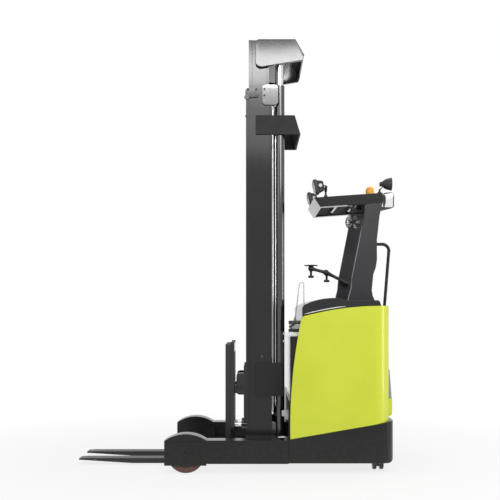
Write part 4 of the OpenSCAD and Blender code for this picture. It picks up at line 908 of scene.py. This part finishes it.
# %% Steering wheel
walls_low, walls_high = box_mm("compartment_walls")
CONSOLE_RUN, CONSOLE_DROP, CONSOLE_LIP = 150, 100, 12
CONSOLE_TILT = math.atan2(CONSOLE_DROP, CONSOLE_RUN)
CONSOLE_UP = np.array((math.sin(CONSOLE_TILT), 0, math.cos(CONSOLE_TILT)))
CONSOLE_DOWN = np.array((math.cos(CONSOLE_TILT), 0, -math.sin(CONSOLE_TILT)))
ACROSS = np.array((0.0, 1.0, 0.0))
RIM_R, RIM_RISE = 80.0, 48
TUBE_R, GRIPS, GRIP_DEPTH = 10.2, 24, 0.8


def on_console(along, y):
    """The point on the console's slope at a distance behind its front edge, measured level."""
    drop = along * CONSOLE_DROP / CONSOLE_RUN
    return np.array((walls_low[0] + CONSOLE_LIP + along, y, walls_high[2] - drop))


rim_mid = on_console(78, -130) + RIM_RISE * CONSOLE_UP
t = np.linspace(0, 2 * np.pi, 72, endpoint=False)[:, None]
p = np.linspace(0, 2 * np.pi, 14, endpoint=False)[None, :]
tube = TUBE_R + GRIP_DEPTH * np.cos(GRIPS * t) * (np.cos(p) < 0)
out = RIM_R + tube * np.cos(p)
rim = (out * np.cos(t))[..., None] * CONSOLE_DOWN + (out * np.sin(t))[..., None] * ACROSS
rim = rim + (tube * np.sin(p))[..., None] * CONSOLE_UP + rim_mid
wheel_hub = [(0, -46), (14, -46), (16, -30), (20, -8), (27, -4), (28, 0), (26, 5), (18, 9), (0, 10)]
wheel = [grid(rim, along=True), turned(wheel_hub, rim_mid, CONSOLE_UP)]
for angle in np.radians((90, 210, 330)):
    spoke = math.cos(angle) * CONSOLE_DOWN + math.sin(angle) * ACROSS
    dip = np.array([(14, -4), (30, -5), (52, -3), (74, 0)])
    path = rim_mid + dip[:, :1] * spoke + dip[:, 1:] * CONSOLE_UP
    wheel.append(swept(path, soft_corners(18, 7, 3, 4), CONSOLE_UP))
spinner = [(0, 2), (6, 2), (6, 10), (11, 14), (14, 22), (14, 30), (11, 37), (5, 40), (0, 40.5)]
wheel.append(turned(spinner, rim_mid + RIM_R * CONSOLE_DOWN, CONSOLE_UP, 24))
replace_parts(make("steering_rim", wheel, "black_rubber", "steering"), "steering_wheel")

# %% [markdown]
# Beside the wheel stand three hydraulic levers. Each has a bellows at its foot, which keeps dust out of the slot,
# and a pear-shaped knob. Foot, rod and knob are one profile, because all of it is round about one axis.

# %% Levers
bellows = [(0, 0), (15, 0), (15, 3), (11, 6), (13, 9), (9, 12), (11, 15), (7, 18), (6, 22), (5, 24), (5, 58)]
pear = [(7, 60), (9, 64), (13, 72), (16, 80), (15, 88), (10, 93), (0, 94)]
levers = [turned(bellows + pear, on_console(80, y), CONSOLE_UP, 24) for y in (60, 115, 170)]
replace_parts(make("lever_knobs", levers, "black_rubber", "chassis"), "control_levers")

# %% [markdown]
# A jointed arm on the right column carries a round plate for a data terminal. Each of its joints is a rubber ball
# between two clamp shells that a T-handled screw draws together. Separate shells, bolts and springs would be too
# small to see, so a pair of shells is one bar whose section is wide at the balls and narrow between them.

# %% Terminal arm
arm_low, arm_high = box_mm("terminal_arm")
PLATE_R, BALL_R = 58, 25
ARM_NARROW, ARM_SWELL, ARM_PAST = 17, 11, 16
ARM_Y = arm_low[1] + PLATE_R
root, knee = np.array((931.0, ARM_Y, arm_low[2] + 30)), np.array((752.0, ARM_Y, arm_low[2] + 120))
plate = np.array((arm_low[0] + PLATE_R, ARM_Y, arm_high[2] - 4))
wrist = plate - (0, 0, 26)


def clamp_arm(a, b):
    """A bar from a to b that goes on ARM_PAST beyond both. Its half width is 17 + 11 cos^4 of its place, drawn in
    at the ends, and its thickness is three quarters of its width."""
    s = np.linspace(0, 1, 25)[:, None]
    length = np.linalg.norm(b - a)
    path = a - (b - a) * ARM_PAST / length + (b - a) * s * (1 + 2 * ARM_PAST / length)
    half = ARM_NARROW + ARM_SWELL * np.cos(np.pi * s) ** 4 * np.minimum(1, 6 * np.minimum(s, 1 - s) + 0.55)
    u, v, _ = axes(b - a)
    outline = soft_corners(2, 2, 0.55, 4)
    section = half[..., None] * (outline[:, :1] * u + 0.75 * outline[:, 1:] * v)[None]
    return grid(path[:, None] + section)


t = np.linspace(-np.pi / 2, np.pi / 2, 9)
ball = np.stack([BALL_R * np.cos(t), BALL_R * np.sin(t)], -1)
arm = [clamp_arm(root, knee), clamp_arm(knee, wrist)]
arm += [turned(ball, at, n=24) for at in (root, knee, wrist)]
column_disc = [(0, 0), (30, 0), (30, 6), (27, 9), (14, 12), (12, 42), (0, 44)]
arm.append(turned(column_disc, (root[0], arm_high[1], root[2]), (0, -1, 0)))
clamp_screw = [(0, 0), (13, 0), (14, -8), (10, -14), (9, -56), (0, -56)]
t_handle = [(5, -24), (9, -22), (10.5, -12), (11, 0), (10.5, 12), (9, 22), (5, 24)]
for at in (knee + 0.03 * (root - knee), wrist):
    arm.append(turned(clamp_screw, at + (0, 0, -12), n=16))
    arm.append(turned(t_handle, at + (0, 0, -68), ALONG_X, 12))
disc = [(0, -4), (56, -4), (PLATE_R, -2), (PLATE_R, 2), (56, 4), (20, 4), (18, 2), (0, 2)]
neck = [(0, -30), (12, -30), (12, -16), (20, -8), (24, -4), (0, -4)]
arm += [turned(disc, plate, n=48), turned(neck, plate, n=24)]
screw = turned([(0, 7), (4, 7), (5, 6), (5, 3)], n=6)
arm.append(repeated(screw, plate + np.array([(x, y, 0) for x in (-19, 19) for y in (-15, 15)])))
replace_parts(make("terminal_holder", arm, "black_plastic", "chassis"), "terminal_arm")

# %% [markdown]
# The operator stands on a rubber mat with round studs. A bump would leave the mat's edge flat from the side, so
# one low stud is turned and repeated on a staggered grid.

# %% Mat studs
mat_low, mat_high = box_mm("floor_mat")
STUD_PITCH, STUD_INSET = 30.0, 20
rows = np.arange(mat_low[0] + STUD_INSET, mat_high[0] - 14, STUD_PITCH)
columns = np.arange(mat_low[1] + STUD_INSET, mat_high[1] - 24, STUD_PITCH)
x, y = np.meshgrid(rows, columns, indexing="ij")
y = y + STUD_PITCH / 2 * (np.arange(len(rows)) % 2)[:, None]
stud = turned([(9, -1), (9, 0.6), (7.5, 1.8)], n=10)
places = np.stack([x, y, np.full(x.shape, mat_high[2])], -1).reshape(-1, 3)
make("mat_studs", [repeated(stud, places)], "black_rubber", "chassis")

# %% [markdown]
# Steel pipes feed the two lift cylinders. They climb behind the outer rail and turn into the cylinders' heads and
# feet, with a hexagon nut near each end. A curve object with a round bevel would serve as well, but a swept circle
# is a plain mesh like every other piece.

# %% Lift pipes
CYLINDER_XY = (345.0, -300.0)
PIPE_BEND = 24
pipes = []
for x, y, r, foot, head in ((292.5, -328, 5.5, 420, 2780), (313.5, -330, 4.0, 470, 2560)):
    path = [(*CYLINDER_XY, foot - 40), (x, y, foot), (x, y, head), (*CYLINDER_XY, head + 46)]
    pipes += both(swept(bend(path, PIPE_BEND), r, over=(0, 1, 0.01), n=10))
    nut = turned([(r, -9), (r + 2.5, -9), (r + 2.5, 9), (r, 9)], n=6)
    pipes += both(repeated(nut, [(x, y, foot + 40), (x, y, head - 40)]))
make("lift_pipes", pipes, "bright_steel", "mast_outer")

# %% [markdown]
# Round bolt heads hold the rail's web and the bracket at its top, which stands a little further out, and a small
# guide roller runs in that bracket. All are turned about an axis across the truck.

# %% Bolts and rollers of the mast
WEB_Y, BRACKET_Y = -335.0, -342.0
bolts = []
for x, y, z, r in (
    (209, WEB_Y, 849, 13),
    (101, BRACKET_Y, 2915, 9),
    (165, BRACKET_Y, 2915, 9),
    (228, BRACKET_Y, 2870, 8),
    (228, BRACKET_Y, 2918, 8),
):
    head = [(0, 7), (r - 3, 7), (r, 5), (r, 0), (r + 3, 0), (r + 3, -2), (0, -2)]
    bolts += both(turned(head, (x, y, z), (0, -1, 0), 24))
guide = [(0, 0), (8, 0), (8, 3), (17, 4), (19, 6), (19, 10), (17, 12), (0, 12)]
bolts += both(turned(guide, (91, WEB_Y + 1, 2856), (0, -1, 0), 32))
make("mast_bolts", bolts, "mast_black", "mast_outer")

# %% [markdown]
# The battery's plug has a dark foot and cap round a grey body, and a pull handle by which it is drawn. A moulding
# has soft corners and a slight step where its halves meet, which a loft of a few outlines gives.

# %% Battery plug
plug_low, plug_high = box_mm("battery_connector")
plug_at = ((plug_low[0] + plug_high[0]) / 2, (plug_low[1] + plug_high[1]) / 2, plug_low[2])
plug_w = plug_high[1] - plug_low[1]
plug_foot = [(plug_w - 6, 44, 5, 0), (plug_w, 50, 6, 2), (plug_w, 50, 6, 20), (plug_w - 6, 44, 5, 23)]
plug_cap = [(plug_w - 4, 46, 6, 60), (plug_w, 56, 6, 63), (plug_w, 56, 8, 80), (plug_w - 4, 50, 8, 85)]
plug_cap += [(plug_w - 30, 20, 5, 86)]
pull = [np.array((plug_at[0] - 8, y, plug_low[2] + 70)) for y in (plug_low[1] + 4, plug_high[1] - 4)]
loop = bend([pull[0], pull[0] + (-42, 0, -30), pull[1] + (-42, 0, -30), pull[1]], 14)
side_bar = np.array([(0, 0, 0), (-40, 0, -33), (-22, 0, -58), (0, 0, -64)])
dark = [lofted(plug_foot, plug_at), lofted(plug_cap, plug_at), swept(loop, 7.0)]
dark += [swept(end + side_bar, 6.0, ALONG_Y) for end in pull]
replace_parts(make("battery_plug_ends", dark, "black_plastic", "chassis"), "battery_connector")
core = [(plug_w - 16, 38, 5, 21), (plug_w - 10, 44, 6, 26), (plug_w - 12, 40, 6, 40)]
core += [(plug_w - 10, 44, 6, 54), (plug_w - 16, 38, 5, 62)]
make("battery_plug_body", [lofted(core, plug_at)], "trim_grey", "chassis")

# %% [markdown]
# Small electric and hydraulic fittings show pale against the black: a pair of plug blocks at the chassis front and
# two clips on each lift cylinder. They are lofts too, and small enough that five outlines are plenty.

# %% Plug blocks and clips
chassis_low, _ = box_mm("chassis_frame")
block = [(34, 52, 6, 0), (34, 52, 6, 22), (28, 46, 5, 26), (26, 44, 5, 44), (20, 36, 5, 46)]
plugs = [
    lofted(block, (chassis_low[0], -430, 425), (-1, 0, 0)),
    lofted(block[:3], (chassis_low[0], -470, 408), (-1, 0, 0)),
]
make("chassis_plugs", plugs, "trim_grey", "chassis")
clip = lofted([(24, 16, 5, 0), (24, 16, 5, 8), (18, 10, 4, 11)], (0, 0, 0), ALONG_X)
make("pipe_clips", both(repeated(clip, [(372, -310, 972), (372, -310, 1030)])), "trim_grey", "mast_outer")

# %% [markdown]
# A pale vinyl bead is pressed into the hood's side above the lime panels and thins out at both ends. A line drawn
# by hand might miss the hood's slope. Its line is the upper edge of the solid strip instead, found as the highest
# point at each place along X, and raised a little.

# %% Trim bead
BEAD_Y, BEAD_RISE, BEAD_POINTS = -632.2, 5, 60
BEAD_DEEP, BEAD_HIGH = 2.6, 4.2
trim = frame["nodes"]["hood_trim"].data
spots = np.empty(len(trim.vertices) * 3)
trim.vertices.foreach_get("co", spots)
spots = spots.reshape(-1, 3)[:, [0, 2]] / MM
stations = np.unique(spots[:, 0].round(0))
edge = np.array([spots[np.abs(spots[:, 0] - at) < 1.0, 1].max() for at in stations])
x = np.linspace(stations[0] + 4, stations[-1] - 2, BEAD_POINTS)
z = np.interp(x, stations, edge)
thin = np.minimum(1, np.minimum((x - x[0]) / 50, (x[-1] - x) / 70) + 0.06) ** 0.6
t = np.linspace(0, 2 * np.pi, 10, endpoint=False)
oval = thin[:, None, None] * np.stack([0 * t, BEAD_DEEP * np.sin(t), BEAD_HIGH * np.cos(t)], -1)[None]
line = np.stack([x, np.full(BEAD_POINTS, BEAD_Y), z + BEAD_RISE], -1)
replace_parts(make("hood_bead", both(grid(line[:, None] + oval)), "trim_grey", "chassis"), "hood_trim")

# %% [markdown]
# A load wheel's hub is cast, with a ring of eight bolts in its dish. The bolts turn with the wheel, so they ride
# on the wheel's body. One head is turned and repeated round the axle.

# %% Hub bolts
HUB_BOLTS, BOLT_CIRCLE_R, DISH_DEPTH = 8, 62, 16
for side, sign in (("left", -1), ("right", 1)):
    hub_low, hub_high = box_mm("load_hub_" + side)
    mid = (hub_low + hub_high) / 2
    face = sign * (abs(mid[1]) + (hub_high[1] - hub_low[1]) / 2 - DISH_DEPTH)
    head = turned([(0, 8), (7, 8), (8, 6.5), (8, 2), (10, 2), (10, -1)], direction=(0, sign, 0), n=12)
    t = np.arange(HUB_BOLTS) * 2 * np.pi / HUB_BOLTS
    ring_x, ring_z = mid[0] + BOLT_CIRCLE_R * np.cos(t), mid[2] + BOLT_CIRCLE_R * np.sin(t)
    ring = np.stack([ring_x, np.full(HUB_BOLTS, face), ring_z], -1)
    make("hub_bolts_" + side, [repeated(head, ring)], "bright_steel", "load_wheel_" + side)

# %% [markdown]
# The picture was taken in a white studio, with a floor that runs up into the background. If the white lit the
# truck as brightly as the camera sees it, the blacks would go grey. So Light Path tells the rays apart: the white
# that the camera and the reflections see is one strength, and the light that it gives the truck is another.

# %% White background
WHITE = (1, 1, 1, 1)
AMBIENT = 0.50


def white_where_seen(tree):
    """1 for camera, glossy and transmission rays, and 0 for the rays that light the truck."""
    path = add(tree, "ShaderNodeLightPath")
    seen = path.outputs["Is Camera Ray"]
    for ray in ("Is Glossy Ray", "Is Transmission Ray"):
        seen = reckoned(tree, "MAXIMUM", seen, path.outputs[ray])
    return seen


def mixed(tree, share, a, b):
    """Two shaders mixed: a where the share is 0, b where it is 1."""
    return add(tree, "ShaderNodeMixShader", {0: share, 1: a.outputs[0], 2: b.outputs[0]}).outputs[0]


world = bpy.data.worlds.new("studio")
scene.world = world
world.use_nodes = True
tree = world.node_tree
tree.nodes.clear()
dim = add(tree, "ShaderNodeBackground", {"Color": WHITE, "Strength": AMBIENT})
white = add(tree, "ShaderNodeBackground", {"Color": WHITE, "Strength": 1.0})
add(tree, "ShaderNodeOutputWorld", {"Surface": mixed(tree, white_where_seen(tree), dim, white)})
print("background light:", AMBIENT)

# %% [markdown]
# The floor is a large matt disc. Near the truck it is matt enough to show the shadow, and further out it turns as
# white as the backdrop, so that no horizon shows. It belongs to the stage and not to the part.

# %% Studio floor
FLOOR_R, FLOOR_Z, FLOOR_POINTS = 14, -0.001, 96
SHADOW_TO, WHITE_FROM = 1.2, 3.5
GLOW_NEAR = 0.8
floor_mesh = bpy.data.meshes.new("floor")
t = np.linspace(0, 2 * np.pi, FLOOR_POINTS, endpoint=False)
disc_edge = np.stack([FLOOR_R * np.cos(t), FLOOR_R * np.sin(t), np.full(FLOOR_POINTS, FLOOR_Z)], -1)
floor_mesh.from_pydata(disc_edge.tolist(), [], [list(range(FLOOR_POINTS))])
floor = bpy.data.objects.new("floor", floor_mesh)
scene.collection.objects.link(floor)
floor_paint = bpy.data.materials.new("studio_floor")
floor_paint.use_nodes = True
tree = floor_paint.node_tree
tree.nodes.clear()
matt = add(tree, "ShaderNodeBsdfDiffuse", {"Color": linear("#EDEDED")})
glow = add(tree, "ShaderNodeEmission", {"Color": WHITE, "Strength": 1.0})
where = add(tree, "ShaderNodeTexCoord").outputs["Object"]
away = add(tree, "ShaderNodeVectorMath", {0: where}, operation="LENGTH").outputs["Value"]
fade = ranged(tree, away, (GLOW_NEAR, 1.0), (SHADOW_TO, WHITE_FROM))
share = reckoned(tree, "MULTIPLY", white_where_seen(tree), fade)
add(tree, "ShaderNodeOutputMaterial", {"Surface": mixed(tree, share, matt, glow)})
floor_mesh.materials.append(floor_paint)
print("floor is white from", WHITE_FROM, "m on")

# %% [markdown]
# Six soft lamps light the truck. A fill and a stronger key stand in front at the left and the right. Two wide
# ones high over the camera are there for their reflection, which brightens the mast towards its top. A narrow
# upright one draws the rear corner, and one overhead gives the roof and the floor their light. Area lamps are
# used because they have a shape that gloss paint can mirror.

# %% Lamps of the studio
def softbox(name, at, aim, size, watts):
    """A rectangular area lamp at a point, turned to face another."""
    data = bpy.data.lights.new(name, "AREA")
    data.shape = "RECTANGLE"
    data.size, data.size_y = size
    data.energy = watts
    lamp = bpy.data.objects.new(name, data)
    to = np.array(aim, float) - np.array(at, float)
    rise, turn = math.atan2(to[2], math.hypot(to[0], to[1])), math.atan2(to[1], to[0])
    lamp.rotation_euler = (math.pi / 2 + rise, 0, turn - math.pi / 2)
    lamp.location = at
    scene.collection.objects.link(lamp)


softbox("fill_left", (-3.6, -5.2, 3.8), (0.1, 0, 1.2), (2.4, 2.4), 28)
softbox("key_right", (2.6, -6.3, 3.85), (0.4, -0.3, 1.6), (3.0, 1.7), 97)
softbox("mast_top", (0.2, -6.6, 4.78), (0.2, 0, 2.9), (2.2, 0.5), 76)
softbox("mast_mid", (0.2, -6.6, 4.0), (0.2, 0, 2.4), (2.2, 0.95), 18)
softbox("corner_right", (4.6, -1.6, 1.3), (1.1, -0.4, 0.9), (0.5, 2.2), 42)
softbox("overhead", (0.2, 0.4, 5.6), (0.2, 0.2, 0.0), (3.2, 3.2), 34)
scene.view_settings.view_transform = "Standard"
